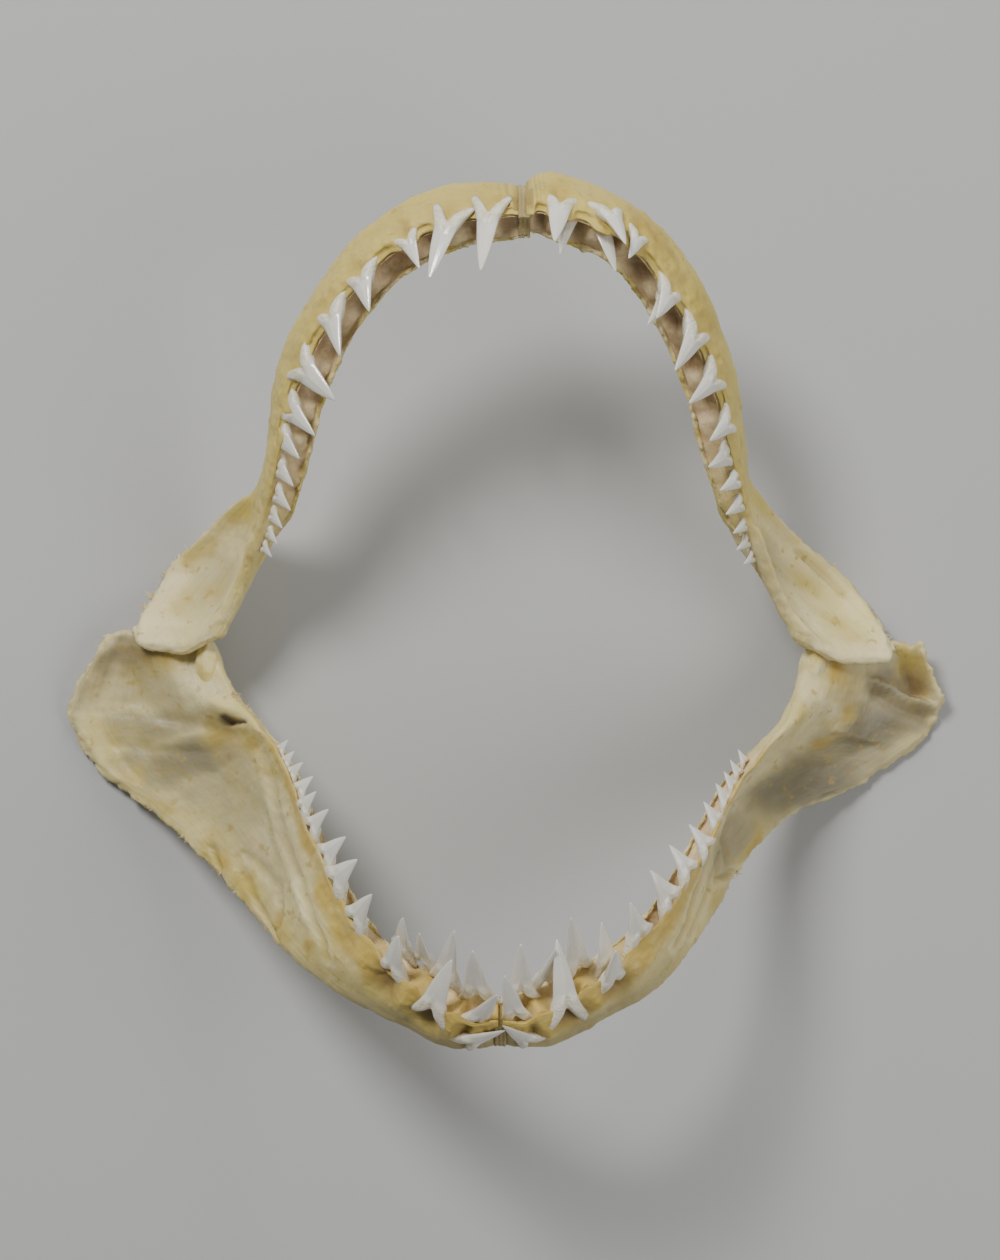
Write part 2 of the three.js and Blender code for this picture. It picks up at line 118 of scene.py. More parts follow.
LOWER_LEFT = {
    "crest": [
        [3, -119, 100.5], [-14, -117, 98.5], [-28.5, -108.5, 93], [-40, -97, 84.5], [-48.5, -84.5, 75.5],
        [-55.5, -71.5, 66.5], [-62, -56.5, 56], [-68.5, -43, 47], [-75, -32.5, 38], [-83, -23, 29],
        [-89.5, -9, 20],
    ],
    "base": [
        [3, -125, 86], [-16, -126, 83], [-32.5, -119.5, 76], [-48.5, -113, 66], [-62.5, -103.5, 54],
        [-75.5, -91.5, 41], [-89, -77.5, 27], [-106, -63, 13], [-126, -47, 4], [-135.5, -28.5, 6],
        [-124.5, -4, 10],
    ],
}
LOWER_RIGHT = {
    "crest": [
        [-6, -119, 100.5], [10, -117, 98.5], [24.5, -109, 93.5], [36.5, -99.5, 86.5], [47, -88.5, 78.5],
        [55.5, -76, 70], [63.5, -62.5, 60.5], [71, -49.5, 51], [79, -38.5, 41], [86.5, -27, 31],
        [92.5, -10, 20],
    ],
    "base": [
        [-6, -125, 86], [12, -125.5, 83], [28.5, -118.5, 76], [43, -111.5, 67], [54.5, -100.5, 57],
        [64, -87.5, 46], [74, -73.5, 33], [87.5, -62, 19], [110.5, -51.5, 4.6], [134.5, -30.5, 5],
        [128, -8, 10],
    ],
}
UPPER_FORM = {
    "thick": [10, 11.5, 12, 11.5, 11.5, 11.5, 11, 10, 7, 6, 5],
    "bulge": [1.5, 2, 2.2, 2.2, 2, 1.6, 1.2, 0.6, 0, 0, 0.4],
    "hollow": [0, 0, 0, 0, 0, 0, 0, 0.5, 3.4, 4.2, 1],
    "groove": [3.5, 5, 5.5, 5.5, 5.5, 5, 4, 2, 0.8, 0.6, 0.6],
    "rim": [4, 4, 4, 3.5, 3, 2.5, 2, 1.2, 0.5, 0.3, 0.3],
    "rolled": [0, 0, 0, 0, 0, 0, 0, 0.4, 1, 1, 1],
    "round": (7.0, 3.6, 1.0),
}
LOWER_FORM = {
    "thick": [10, 12, 11.5, 9.5, 8, 7, 6.5, 6.5, 6.5, 6.2, 5],
    "bulge": [0.5, 1, 1.6, 1.8, 1.4, 0.4, 0, 0, 0, 0, 0],
    "hollow": [0, 0, 0, 0, 0, 1.5, 4, 6, 7.5, 8, 2],
    "groove": [1.6, 2, 2.2, 3, 4.5, 4.5, 4, 3, 1, 0.6, 0.6],
    "rim": [2, 2.4, 2.6, 2.8, 2.5, 2, 2, 1.5, 0.6, 0.3, 0.3],
    "rolled": [0, 0, 0, 0, 0, 0, 0, 0, 0.6, 1, 1],
    "round": (1.0, 2.0, 0.0),
}

# Each tooth, in mm: distance along the tooth edge from the symphysis, how far behind the edge and how far
# down the outer face the root sits, length and width. Then its turns in degrees: over the trench, and away
# from the symphysis.
UPPER_LEFT_TEETH = [
    [10, 0, 0, 27, 12, 28, 9], [22.5, 0, 0, 26, 13.5, 28, 26], [35, 0, 0, 15, 9.5, 26, -6],
    [53, 0, 0, 17, 14, 22, 8], [68, 0, 0, 20, 15.5, 20, 16], [87, 0.5, 0, 21.5, 15.5, 37, 4],
    [101.5, 1.6, -0.2, 17, 13, 34, 3], [111.5, 1.6, -0.1, 13, 11.5, 27, 1],
    [121.5, 2.7, -0.1, 11, 10, 30, 4], [130.5, 3.9, -0.2, 9.8, 9, 32, 5],
    [137.9, 4.2, -0.3, 8, 7.5, 31, 6], [143.9, 4.9, -0.4, 7, 6.5, 32, 6], [149.6, 5, -0.6, 6, 5.5, 33, 6],
]
UPPER_RIGHT_TEETH = [
    [10, -1.2, 2.8, 23, 12.5, 9, -2], [24, -2.3, 4.5, 20.5, 14, -1, 25],
    [33.5, -1.4, 2.7, 15.5, 9.5, 12, 1], [52, 0, 0, 17, 13.5, 18, 6], [68, 0, 0, 20, 15.5, 28, 14],
    [83, 0, 0, 18, 14, 34, 6], [98.7, 0, 0, 14.8, 12.5, 28, 3], [109, 2.8, -0.1, 12, 11, 34, 1],
    [118, 2.4, 0, 10.8, 10, 33, 2], [126.2, 3.3, -0.1, 9.6, 9, 34, 4], [134, 3.9, -0.2, 8, 7.5, 32, 5],
    [140, 4.8, -0.4, 7, 6.5, 32, 5], [145.5, 4.8, -0.4, 6, 5.5, 32, 5], [13, 3.6, 3.6, 20.5, 10.5, 15, 1],
    [23.5, 2.8, 5.1, 21.5, 11, 26, 32], [54, 4, 1.8, 15, 10, 30, 6],
]
LOWER_LEFT_TEETH = [
    [8, -1.1, 8.8, 20, 11, -5, -49], [7, 2.5, 0.4, 22, 12, -2, -22], [21, 0.9, -0.5, 26.5, 15, 17, -4],
    [38.5, 1.2, -2.4, 21.5, 15, 4, 1], [58.5, 1, -2.6, 18.5, 15, 13, -2], [73, 1, -3, 18.5, 15, 18, -6],
    [83, 2.2, -2.2, 15.6, 13, 23, -6], [94.3, 1.7, -1.8, 13, 11, 24, -1],
    [101.6, 1.4, -1.2, 11, 9.5, 25, 3], [108.4, 2.8, -1.2, 9.4, 8.5, 31, 3],
    [114.2, 2.9, -0.7, 8.3, 7.5, 30, 3], [119.2, 2.8, -0.7, 7.2, 6.5, 28, 4],
    [124.4, 3.1, -1, 6.4, 5.5, 28, 5], [9, 9.4, -4.2, 26, 13.5, 2, 7], [24.5, 9.6, -5.5, 29, 14, 4, -2],
    [34.5, 9.6, -3.8, 22, 12, -9, 2], [43.5, 7.4, -4, 22, 12.5, -2, -1],
]
LOWER_RIGHT_TEETH = [
    [7, -0.8, 8.5, 18.5, 11, -9, -38], [4.5, 3.9, -1.3, 23, 12, 8, -9], [21, 1.3, -1, 30, 15, 27, 12],
    [37, -0.1, 0.2, 21.5, 15, -8, 1], [53, 2.2, -4.2, 18, 15, 9, -3], [68.8, 2.5, -2.2, 18, 14.5, 23, -7],
    [80, 2.2, -2.1, 15.4, 13, 30, -4], [90.2, 1.1, -1.5, 13, 11, 30, -1], [99.8, 2, -1.2, 11, 9.5, 30, 2],
    [107.8, 2.4, -0.8, 9.2, 8.5, 30, 4], [113.4, 2.8, -0.4, 8.2, 7.5, 29, 3],
    [118.8, 3.4, -0.5, 7.4, 6.5, 29, 4], [124.3, 4, -0.8, 6.4, 5.5, 28, 5], [8, 9.8, -4.6, 26, 13.5, 8, 4],
    [32, 8.8, -3.9, 29, 14, 4, 1], [20, 10.4, -3.8, 21, 12, -9, 11], [40.5, 5.7, 0.8, 21.5, 12.5, 11, 7],
]

# Ochre stains on each cartilage: place along it, depth down the outer face, the two spreads and the strength.
STAINS = {
    "upper_jaw_left": [
        (0.05, 0.45, 0.05, 0.3, 0.5), (0.2, 0.6, 0.06, 0.25, 0.3), (0.42, 0.35, 0.05, 0.3, 0.35),
        (0.76, 0.75, 0.035, 0.2, 0.9), (0.86, 0.85, 0.03, 0.12, 0.7), (0.9, 0.45, 0.03, 0.12, 0.4),
        (0.93, 0.7, 0.02, 0.1, 0.5),
    ],
    "upper_jaw_right": [
        (0.12, 0.4, 0.04, 0.3, 0.7), (0.3, 0.45, 0.06, 0.35, 1.0), (0.42, 0.5, 0.06, 0.3, 0.8),
        (0.55, 0.5, 0.05, 0.3, 0.5), (0.84, 0.35, 0.02, 0.1, 0.7), (0.88, 0.6, 0.02, 0.1, 0.7),
        (0.8, 0.5, 0.02, 0.12, 0.4), (0.95, 0.55, 0.02, 0.15, 0.5),
    ],
    "lower_jaw_left": [
        (0.78, 0.14, 0.03, 0.08, 1.0), (0.82, 0.28, 0.03, 0.1, 0.8), (0.68, 0.12, 0.05, 0.07, 0.6),
        (0.62, 0.92, 0.03, 0.07, 0.9), (0.54, 0.88, 0.03, 0.1, 0.9), (0.46, 0.85, 0.03, 0.12, 0.9),
        (0.4, 0.75, 0.02, 0.12, 0.8), (0.72, 0.93, 0.03, 0.05, 0.6), (0.97, 0.4, 0.02, 0.2, 0.8),
        (0.78, 0.9, 0.02, 0.05, 0.7),
    ],
    "lower_jaw_right": [
        (0.95, 0.3, 0.02, 0.12, 1.0), (0.9, 0.42, 0.02, 0.07, 0.8), (0.86, 0.1, 0.03, 0.07, 0.6),
        (0.62, 0.95, 0.03, 0.06, 1.0), (0.98, 0.92, 0.03, 0.1, 1.0), (0.84, 0.48, 0.02, 0.06, 0.6),
        (0.5, 0.9, 0.03, 0.08, 0.6),
    ],
}
# Grey places, pale places, and places of painted brown shade (in the folded cup, round the hole and under the
# upper plates' ends), given in the same way.
GREYS = {
    "upper_jaw_left": [(0.9, 0.5, 0.05, 0.25, 0.3)],
    "upper_jaw_right": [(0.84, 0.45, 0.04, 0.2, 0.4)],
    "lower_jaw_left": [
        (0.787, 0.6, 0.047, 0.34, 0.95), (0.7, 0.58, 0.09, 0.34, 0.5), (0.6, 0.52, 0.1, 0.3, 0.28),
        # The place at 0.975 is painted shade under the upper plate's end.
        (0.868, 0.62, 0.035, 0.24, 0.75), (0.92, 0.7, 0.04, 0.22, 0.15), (0.975, 0.75, 0.02, 0.3, 0.55),
        (0.93, 0.98, 0.05, 0.05, 0.5),
    ],
    "lower_jaw_right": [
        (0.755, 0.7, 0.105, 0.32, 1.0), (0.61, 0.66, 0.08, 0.3, 0.68), (0.88, 0.68, 0.06, 0.3, 1.0),
        (0.945, 0.66, 0.025, 0.2, 0.85),
    ],
}
PALES = {
    "upper_jaw_left": [
        (0.95, 0.4, 0.03, 0.2, 0.5), (0.86, 0.97, 0.08, 0.06, 0.9), (0.88, 0.12, 0.06, 0.1, 0.7),
    ],
    "upper_jaw_right": [
        (0.95, 0.35, 0.04, 0.2, 0.8), (0.86, 0.97, 0.08, 0.05, 0.6), (0.86, 0.1, 0.07, 0.1, 0.8),
    ],
    "lower_jaw_left": [
        (0.91, 0.31, 0.045, 0.09, 1.0), (0.925, 0.72, 0.03, 0.13, 0.3), (0.93, 0.1, 0.05, 0.1, 0.8),
    ],
    "lower_jaw_right": [
        (0.92, 0.2, 0.05, 0.1, 0.9), (0.865, 0.62, 0.012, 0.12, 0.9), (0.8, 0.15, 0.08, 0.1, 0.6),
        (0.45, 0.8, 0.06, 0.2, 0.7), (0.935, 0.5, 0.012, 0.1, 0.6),
    ],
}
SHADES = {
    "upper_jaw_left": [],
    "upper_jaw_right": [],
    "lower_jaw_left": [
        (0.975, 0.6, 0.02, 0.3, 0.75), (0.79, 0.26, 0.045, 0.1, 0.5), (0.96, 0.9, 0.03, 0.1, 0.4),
    ],
    "lower_jaw_right": [
        (0.953, 0.9, 0.025, 0.085, 1.3), (0.965, 0.7, 0.02, 0.1, 0.5), (0.975, 0.3, 0.02, 0.2, 0.3),
    ],
}
# Creases and scars pressed into the outer face, or ridges raised on it where the depth is negative: a path of
# (along, depth) places, its width and its depth in mm.
CREASES = {
    "upper_jaw_left": [
        ([(0.72, 0.2), (0.82, 0.25), (0.92, 0.3)], 3.0, 0.9),
        ([(0.74, 0.97), (0.86, 0.95), (0.97, 0.93)], 3.2, -1.6),
        ([(0.985, 0.15), (0.985, 0.5), (0.98, 0.9)], 3.5, -1.4),
        ([(0.8, 0.02), (0.9, 0.04), (0.97, 0.1)], 3.0, -1.2),
        ([(0.83, 0.5), (0.9, 0.55)], 7.0, 1.0),
    ],
    "upper_jaw_right": [
        ([(0.74, 0.2), (0.84, 0.3), (0.92, 0.3)], 3.0, 0.9),
        ([(0.74, 0.97), (0.86, 0.95), (0.97, 0.93)], 3.2, -1.8),
        ([(0.985, 0.15), (0.985, 0.5), (0.98, 0.9)], 3.5, -1.6),
        ([(0.8, 0.02), (0.9, 0.04), (0.97, 0.1)], 3.2, -1.6),
        ([(0.83, 0.5), (0.9, 0.55)], 7.0, 1.0),
        ([(0.02, 0.35), (0.06, 0.3)], 6.0, -1.6),
        ([(0.84, 0.84), (0.91, 0.84)], 1.2, 1.0),
    ],
    "lower_jaw_left": [
        ([(0.97, 0.46), (0.92, 0.3), (0.87, 0.16)], 6.0, -3.4),
        ([(0.87, 0.14), (0.83, 0.05), (0.78, 0.02)], 3.5, -1.8),
        ([(0.95, 0.7), (0.89, 0.52), (0.84, 0.32), (0.8, 0.2)], 3.0, 1.6),
        ([(0.84, 0.85), (0.81, 0.6), (0.79, 0.4)], 2.6, 1.0),
        ([(0.93, 0.85), (0.915, 0.7)], 7.0, 1.4),
        ([(0.73, 0.11), (0.66, 0.2), (0.585, 0.31), (0.5, 0.33), (0.43, 0.4), (0.375, 0.47), (0.35, 0.6)],
         1.1, 1.7),
        ([(0.73, 0.16), (0.66, 0.26), (0.585, 0.38), (0.5, 0.41), (0.43, 0.48)], 2.2, -0.9),
        ([(0.6, 0.73), (0.515, 0.6), (0.48, 0.72), (0.46, 0.88)], 1.0, 2.0),
        ([(0.6, 0.8), (0.52, 0.87), (0.45, 0.95)], 0.9, 1.6),
        ([(0.63, 0.9), (0.6, 0.97)], 1.0, 1.6),
        ([(0.78, 0.97), (0.88, 0.96), (0.97, 0.93)], 3.0, -2.6),
        ([(0.78, 0.88), (0.88, 0.87), (0.96, 0.84)], 2.6, 1.2),
        ([(0.83, 0.17), (0.82, 0.1), (0.81, 0.06)], 1.1, 1.6),
    ],
    "lower_jaw_right": [
        ([(0.97, 0.42), (0.93, 0.2), (0.86, 0.08)], 7.0, -3.2),
        ([(0.86, 0.08), (0.8, 0.03), (0.74, 0.02)], 3.5, -1.4),
        ([(0.66, 0.3), (0.6, 0.5), (0.57, 0.8)], 1.6, 1.4),
        ([(0.57, 0.6), (0.53, 0.72), (0.56, 0.92)], 1.1, 2.0),
        ([(0.57, 0.55), (0.5, 0.62), (0.42, 0.7)], 1.2, 1.8),
        ([(0.55, 0.3), (0.48, 0.36), (0.38, 0.5)], 1.2, 1.2),
        ([(0.95, 0.58), (0.94, 0.7), (0.923, 0.82), (0.912, 0.97)], 1.1, -2.6),
        ([(0.94, 0.6), (0.912, 0.8), (0.9, 0.95)], 1.6, 1.5),
        ([(0.875, 0.46), (0.865, 0.6), (0.86, 0.76)], 0.8, -0.9),
        ([(0.9, 0.4), (0.85, 0.62), (0.79, 0.85)], 4.0, -1.4),
        ([(0.78, 0.97), (0.86, 0.97)], 3.0, -1.6),
    ],
}


class JawSizes(bpy.types.PropertyGroup):
    """Sizes of the small forms."""

    surface_relief: bpy.props.FloatProperty(
        name="Surface relief", description="Height of the dried surface's gentle waves", default=0.00028,
        unit="LENGTH")
    edge_raggedness: bpy.props.FloatProperty(
        name="Ragged edges", description="How far the torn edges wander", default=0.0009, unit="LENGTH")
    tooth_size: bpy.props.FloatProperty(
        name="Tooth size", description="Teeth against their measured size", default=1.0, min=0.8, max=1.05)
    fibre_length: bpy.props.FloatProperty(
        name="Fibre length", description="Length of a frayed strand", default=0.0028, unit="LENGTH")
    fibre_count: bpy.props.IntProperty(
        name="Fibres in a tuft", description="Strands on each ten millimetres of frayed edge", default=44)


class JawColours(bpy.types.PropertyGroup):
    """Colours of the dried tissues."""

    cartilage: bpy.props.FloatVectorProperty(
        name="Cartilage", description="Cream of the dry cartilage", default=(0.75, 0.61, 0.19),
        subtype="COLOR")
    pale: bpy.props.FloatVectorProperty(
        name="Pale", description="Bone-white calcified patches", default=(0.82, 0.73, 0.44), subtype="COLOR")
    # Also serves the grey painted shade under the upper plate's end on the lower left plate.
    grey: bpy.props.FloatVectorProperty(
        name="Grey", description="Grey of the muscle hollows", default=(0.13, 0.12, 0.09), subtype="COLOR")
    stain: bpy.props.FloatVectorProperty(
        name="Stain", description="Ochre oil stains", default=(0.50, 0.33, 0.07), subtype="COLOR")
    olive: bpy.props.FloatVectorProperty(
        name="Olive", description="Soft yellow patches round the stains", default=(0.54, 0.41, 0.07),
        subtype="COLOR")
    gum: bpy.props.FloatVectorProperty(
        name="Gum", description="Honey-coloured dry gum", default=(0.62, 0.44, 0.10), subtype="COLOR")
    # Laid in the trench's pits: the membrane's brown deepened with painted shade.
    trench: bpy.props.FloatVectorProperty(
        name="Trench", description="Brown membrane behind the teeth", default=(0.19, 0.105, 0.04),
        subtype="COLOR")
    enamel: bpy.props.FloatVectorProperty(
        name="Enamel", description="White of the tooth crowns", default=(0.81, 0.775, 0.68), subtype="COLOR")
    root: bpy.props.FloatVectorProperty(
        name="Root", description="Duller white of the roots", default=(0.82, 0.77, 0.64), subtype="COLOR")
    sinew: bpy.props.FloatVectorProperty(
        name="Sinew", description="Dried ligament and torn fibres", default=(0.60, 0.47, 0.21),
        subtype="COLOR")
    floor: bpy.props.FloatVectorProperty(
        name="Floor", description="Pale floor", default=(0.46, 0.46, 0.45), subtype="COLOR")


def sizes():
    return bpy.context.scene.jaw_sizes


def colours():
    return bpy.context.scene.jaw_colours


# Curves, sections and places shared by the pieces.

def seeded_spread(seed):
    """A draw of numbers from -1 to 1, the same each run."""
    state = [seed]

    def draw():
        state[0] = (state[0] * 1664525 + 1013904223) % 4294967296
        return state[0] / 2147483648 - 1
    return draw


def smooth(low, high, value):
    """0 below low, 1 above high, and eased between them."""
    t = np.clip((value - low) / (high - low), 0, 1)
    return t * t * (3 - 2 * t)


def along(values, s):
    """The number at each place s, 0 to 1, of a row of numbers that are spread evenly and joined smoothly."""
    values = np.asarray(values, float)
    last = len(values) - 1
    place = np.clip(s, 0, 1) * last
    i = np.minimum(place.astype(int), last - 1)
    before, here, after, later = (values[np.clip(i + k, 0, last)] for k in (-1, 0, 1, 2))
    t = place - i
    slope, slope_next = 0.5 * (after - before), 0.5 * (later - here)
    return here + t * (slope + t * (3 * (after - here) - 2 * slope - slope_next
                                    + t * (2 * (here - after) + slope + slope_next)))


def rail(points, s):
    """Points of the smooth curve through the given ones."""
    points = np.asarray(points, float)
    last = len(points) - 1
    place = np.clip(s, 0, 1) * last
    i = np.minimum(place.astype(int), last - 1)
    w = (place - i)[:, None]
    ends = np.vstack([2 * points[0] - points[1], points, 2 * points[-1] - points[-2]])
    p0, p1, p2, p3 = (ends[i + k] for k in range(4))
    d0, d1, d2 = ((((b - a) ** 2).sum(1) ** 0.25)[:, None] for a, b in ((p0, p1), (p1, p2), (p2, p3)))
    t1 = ((p1 - p0) / d0 - (p2 - p0) / (d0 + d1) + (p2 - p1) / d1) * d1
    t2 = ((p2 - p1) / d1 - (p3 - p1) / (d1 + d2) + (p3 - p2) / d2) * d1
    return p1 + w * (t1 + w * (-3 * p1 + 3 * p2 - 2 * t1 - t2 + w * (2 * p1 - 2 * p2 + t1 + t2)))


def unit(vectors):
    return vectors / np.linalg.norm(vectors, axis=-1, keepdims=True)


class Jaw:
    """One cartilage: its rails, cross-section and teeth."""

    def __init__(self, name, points, teeth, side, form, opening, upper, symphysis_x):
        self.name, self.points, self.form, self.teeth = name, points, form, teeth
        self.side, self.upper, self.symphysis_x = side, upper, symphysis_x
        self.turn = (-1 if upper else 1) * side
        self.bite = np.array([0, (-1 if upper else 1) * math.cos(opening), math.sin(opening)])
        self.lead = abs(points["crest"][0][0] - symphysis_x)
        track = rail(points["crest"], np.arange(TRACK_STEPS + 1) / TRACK_STEPS)
        self.travelled = np.concatenate([[0], np.cumsum(np.linalg.norm(np.diff(track, axis=0), axis=1))])

    def frame_at(self, s):
        """Tooth edge, way down, inwards, backwards and height at each place along the cartilage."""
        asked = np.atleast_1d(np.asarray(s, float))
        s = np.clip(asked, 0, 1)
        crest, base = rail(self.points["crest"], s), rail(self.points["base"], s)
        down = base - crest
        height = np.linalg.norm(down, axis=1)
        down = unit(down)
        ahead, behind = np.minimum(s + 1e-4, 1), np.maximum(s - 1e-4, 0)
        back = unit(rail(self.points["crest"], ahead) - rail(self.points["crest"], behind))
        inwards = unit(np.cross(back, down)) * self.turn
        crest = crest + back * ((asked - s) * self.travelled[-1])[:, None]
        return crest, down, inwards, back, height

    def place_of(self, distance):
        """The place along the cartilage that is a given distance from the symphysis."""
        i = np.argmax(self.travelled - self.lead >= distance)
        return (i if self.travelled[-1] - self.lead >= distance else TRACK_STEPS) / TRACK_STEPS

    def start(self):
        """The place where the tooth edge leaves the symphysis."""
        s = np.linspace(0, 0.3, 3001)
        x = rail(self.points["crest"], s)[:, 0] * self.side
        edge = self.symphysis_x * self.side + LIGAMENT_WIDTH / 2 + CLEARANCE
        return float(s[np.argmax(x >= edge)])


# The corners of a plate's rounded rim: how deep each lies, and its share of the thickness.
ROLLED_RIM = (
    (1, 2.2, 0.03), (0, 0.7, 0.22), (18, 0.2, 0.38), (17, 0.1, 0.52), (16, 0.3, 0.66), (15, 0.8, 0.79),
    (14, 1.5, 0.88), (13, 2.4, 0.94), (12, 3.6, 0.985),
)


def section(form, height, s):
    """Corner points of the cross-section, as (down from the tooth edge, inwards from the outer face)."""
    parts = ("thick", "bulge", "hollow", "groove", "rim")
    thick, bulge, hollow, groove, rim = (along(form[part], s) for part in parts)
    wall, lip, zero = 0.17 * thick, 0.12 * thick, 0 * thick
    corners = [
        (zero - 0.6, 0.5 * wall), (zero + 0.9, zero), (0.2 * height, -0.7 * bulge), (0.45 * height, -bulge),
        (0.72 * height, -0.8 * bulge), (0.92 * height, -0.3 * bulge - 0.3), (height + 0.4, 0.14 * thick),
        (height + 0.5, 0.5 * thick), (0.94 * height, 0.84 * thick), (0.8 * height, 0.9 * thick),
        (0.56 * height, thick), (0.34 * height, thick), (rim + 0.8, thick), (rim, thick - 0.5 * lip),
        (rim + 0.6, thick - 0.9 * lip), (groove * 0.8 + rim * 0.2 + 0.2, thick - 1.1 * lip),
        (groove, 0.5 * (wall + thick - lip)), (groove * 0.6, wall + 0.05 * thick), (zero + 0.8, wall),
    ]
    table = np.stack([np.stack(c, axis=-1) for c in corners], axis=1)
    rolled = np.clip(along(form["rolled"], s), 0, 1)[:, None]
    for corner, deep, share in ROLLED_RIM:
        goal = np.stack([deep + zero, share * thick], axis=-1)
        table[:, corner] += rolled * (goal - table[:, corner])
    table[:, :, 1] += hollow[:, None] * np.sin(np.pi * np.clip(table[:, :, 0] / height[:, None], 0, 1))
    return table


# Stretches of the section by corner number: outer face, outer edge, lip behind the trench, and the trench.
LABIAL, BASE_EDGE, LIP, TRENCH = (1, 5.6), (5.6, 7.8), (12.4, 14.2), (14.2, 18.2)
# The floor of the trench, where its pits lie (darkened with painted shade), and where the front seats are.
# Then the two sides of the tooth edge, and the wider strips on them that gum can cover.
TRENCH_FLOOR, PIT_FLOOR, FRONT_SEATS = (15.3, 17.3), (15.2, 17.0), (16.4, 18.0)
EDGE_BEHIND, EDGE_BEFORE, GUM_BEHIND, GUM_BEFORE = (17.9, 19.5), (-0.5, 1.3), (17.5, 20), (-1, 1.4)
# Along a cartilage: the front part ends between these, and teeth end this much past the last one.
FRONT_END, PAST_LAST_TOOTH, TOOTHLESS_BLEND = (0.22, 0.4), 0.015, 0.05
CURVE_TENSION = 0.42


def rounded(table):
    """The closed section drawn smoothly through its corners, STEPS points to each."""
    t = (np.arange(STEPS) / STEPS)[None, None, :, None]
    p0, p1, p2, p3 = (np.roll(table, -k, axis=1)[:, :, None, :] for k in (-1, 0, 1, 2))
    m1, m2 = CURVE_TENSION * (p2 - p0), CURVE_TENSION * (p3 - p1)
    curve = p1 + t * (m1 + t * (3 * (p2 - p1) - 2 * m1 - m2 + t * (2 * (p1 - p2) + m1 + m2)))
    return curve.reshape(table.shape[0], -1, 2)


def band(q, span, blur=0.5):
    """1 inside a stretch of the section and 0 outside it, blurred at both ends."""
    low, high = span
    return smooth(low - blur, low + blur, q) * (1 - smooth(high - blur, high + blur, q))


UPPER = (UPPER_FORM, UPPER_OPENING, True, UPPER_SYMPHYSIS_X)
LOWER = (LOWER_FORM, LOWER_OPENING, False, LOWER_SYMPHYSIS_X)
JAWS = {
    name: Jaw(name, points, teeth, side, *shared) for name, points, teeth, side, shared in (
        ("upper_jaw_left", UPPER_LEFT, UPPER_LEFT_TEETH, -1, UPPER),
        ("upper_jaw_right", UPPER_RIGHT, UPPER_RIGHT_TEETH, 1, UPPER),
        ("lower_jaw_left", LOWER_LEFT, LOWER_LEFT_TEETH, -1, LOWER),
        ("lower_jaw_right", LOWER_RIGHT, LOWER_RIGHT_TEETH, 1, LOWER),
    )
}


def placed(points):
    """Design millimetres to the model's metres."""
    return (points - MIDDLE) * MM


def path_distance(s, f, path, length, height):
    """Distance in mm from each surface place to a path of (along, depth) places."""
    nearest = np.full(np.broadcast(s, f).shape, 1e9)
    for (s0, f0), (s1, f1) in zip(path, path[1:]):
        ax, ay = (s - s0) * length, (f - f0) * height
        bx, by = (s1 - s0) * length, (f1 - f0) * height
        t = np.clip((ax * bx + ay * by) / (bx * bx + by * by), 0, 1)
        nearest = np.minimum(nearest, np.hypot(ax - t * bx, ay - t * by))
    return nearest


# Mesh helpers.

def waves(points, scale, octaves, seed):
    """Fractal noise at each point, about -1 to 1."""
    offset = Vector((seed * 3.1, seed * 1.7, seed * 2.3))
    return np.array([noise.fractal(Vector(p) * scale + offset, 1.0, 2.0, octaves) for p in points])


def mesh_piece(name, points, faces):
    mesh = bpy.data.meshes.new(name)
    mesh.from_pydata([tuple(p) for p in points], [], faces)
    mesh.validate()
    mesh.polygons.foreach_set("use_smooth", [True] * len(mesh.polygons))
    piece = bpy.data.objects.new(name, mesh)
    bpy.context.scene.collection.objects.link(piece)
    return piece


def tube_faces(rings, count, capped=True):
    """Faces of a tube of rings, each of count points, with an end cap on both sides if asked for."""
    faces = []
    for a in range(0, (rings - 1) * count, count):
        b = a + count
        faces.extend((a + i, a + (i + 1) % count, b + (i + 1) % count, b + i) for i in range(count))
    if capped:
        faces.append(tuple(range(count)))
        faces.append(tuple((rings - 1) * count + i for i in range(count)))
    return faces


def close_and_turn_out(mesh, weld=None):
    """Welds points nearer than weld, cuts end caps into triangles and points every face outwards."""
    work = bmesh.new()
    work.from_mesh(mesh)
    if weld:
        bmesh.ops.remove_doubles(work, verts=work.verts, dist=weld)
    caps = [f for f in work.faces if len(f.verts) > 4]
    if caps:
        bmesh.ops.triangulate(work, faces=caps)
    bmesh.ops.recalc_face_normals(work, faces=work.faces)
    work.to_mesh(mesh)
    work.free()
    mesh.update()


def point_places(mesh):
    places = np.empty(3 * len(mesh.vertices))
    mesh.vertices.foreach_get("co", places)
    return places.reshape(-1, 3)


def add_lie(mesh, places):
    """The map that the grain follows: for each point, metres one way and the other over the surface."""
    corner = np.empty(len(mesh.loops), dtype=np.int64)
    mesh.loops.foreach_get("vertex_index", corner)
    layer = mesh.uv_layers.new(name="lie")
    layer.data.foreach_set("uv", places[corner].astype(np.float32).ravel())


def add_values(mesh, name, values, kind="FLOAT"):
    """Keeps one number, or one vector, for each point of the mesh."""
    attribute = mesh.attributes.new(name, kind, "POINT")
    plain = np.asarray(values, dtype=np.int32 if kind == "INT" else np.float32).ravel()
    attribute.data.foreach_set("vector" if kind == "FLOAT_VECTOR" else "value", plain)


# Materials.

class Tree:
    """A short way to write a node tree."""

    def __init__(self, tree):
        self.tree = tree

    def add(self, kind, **settings):
        node = self.tree.nodes.new(kind)
        for key, value in settings.items():
            setattr(node, key, value)
        return node

    def link(self, source, target):
        self.tree.links.new(source, target)

    def put(self, value, socket):
        if isinstance(value, bpy.types.NodeSocket):
            self.link(value, socket)
        else:
            socket.default_value = value


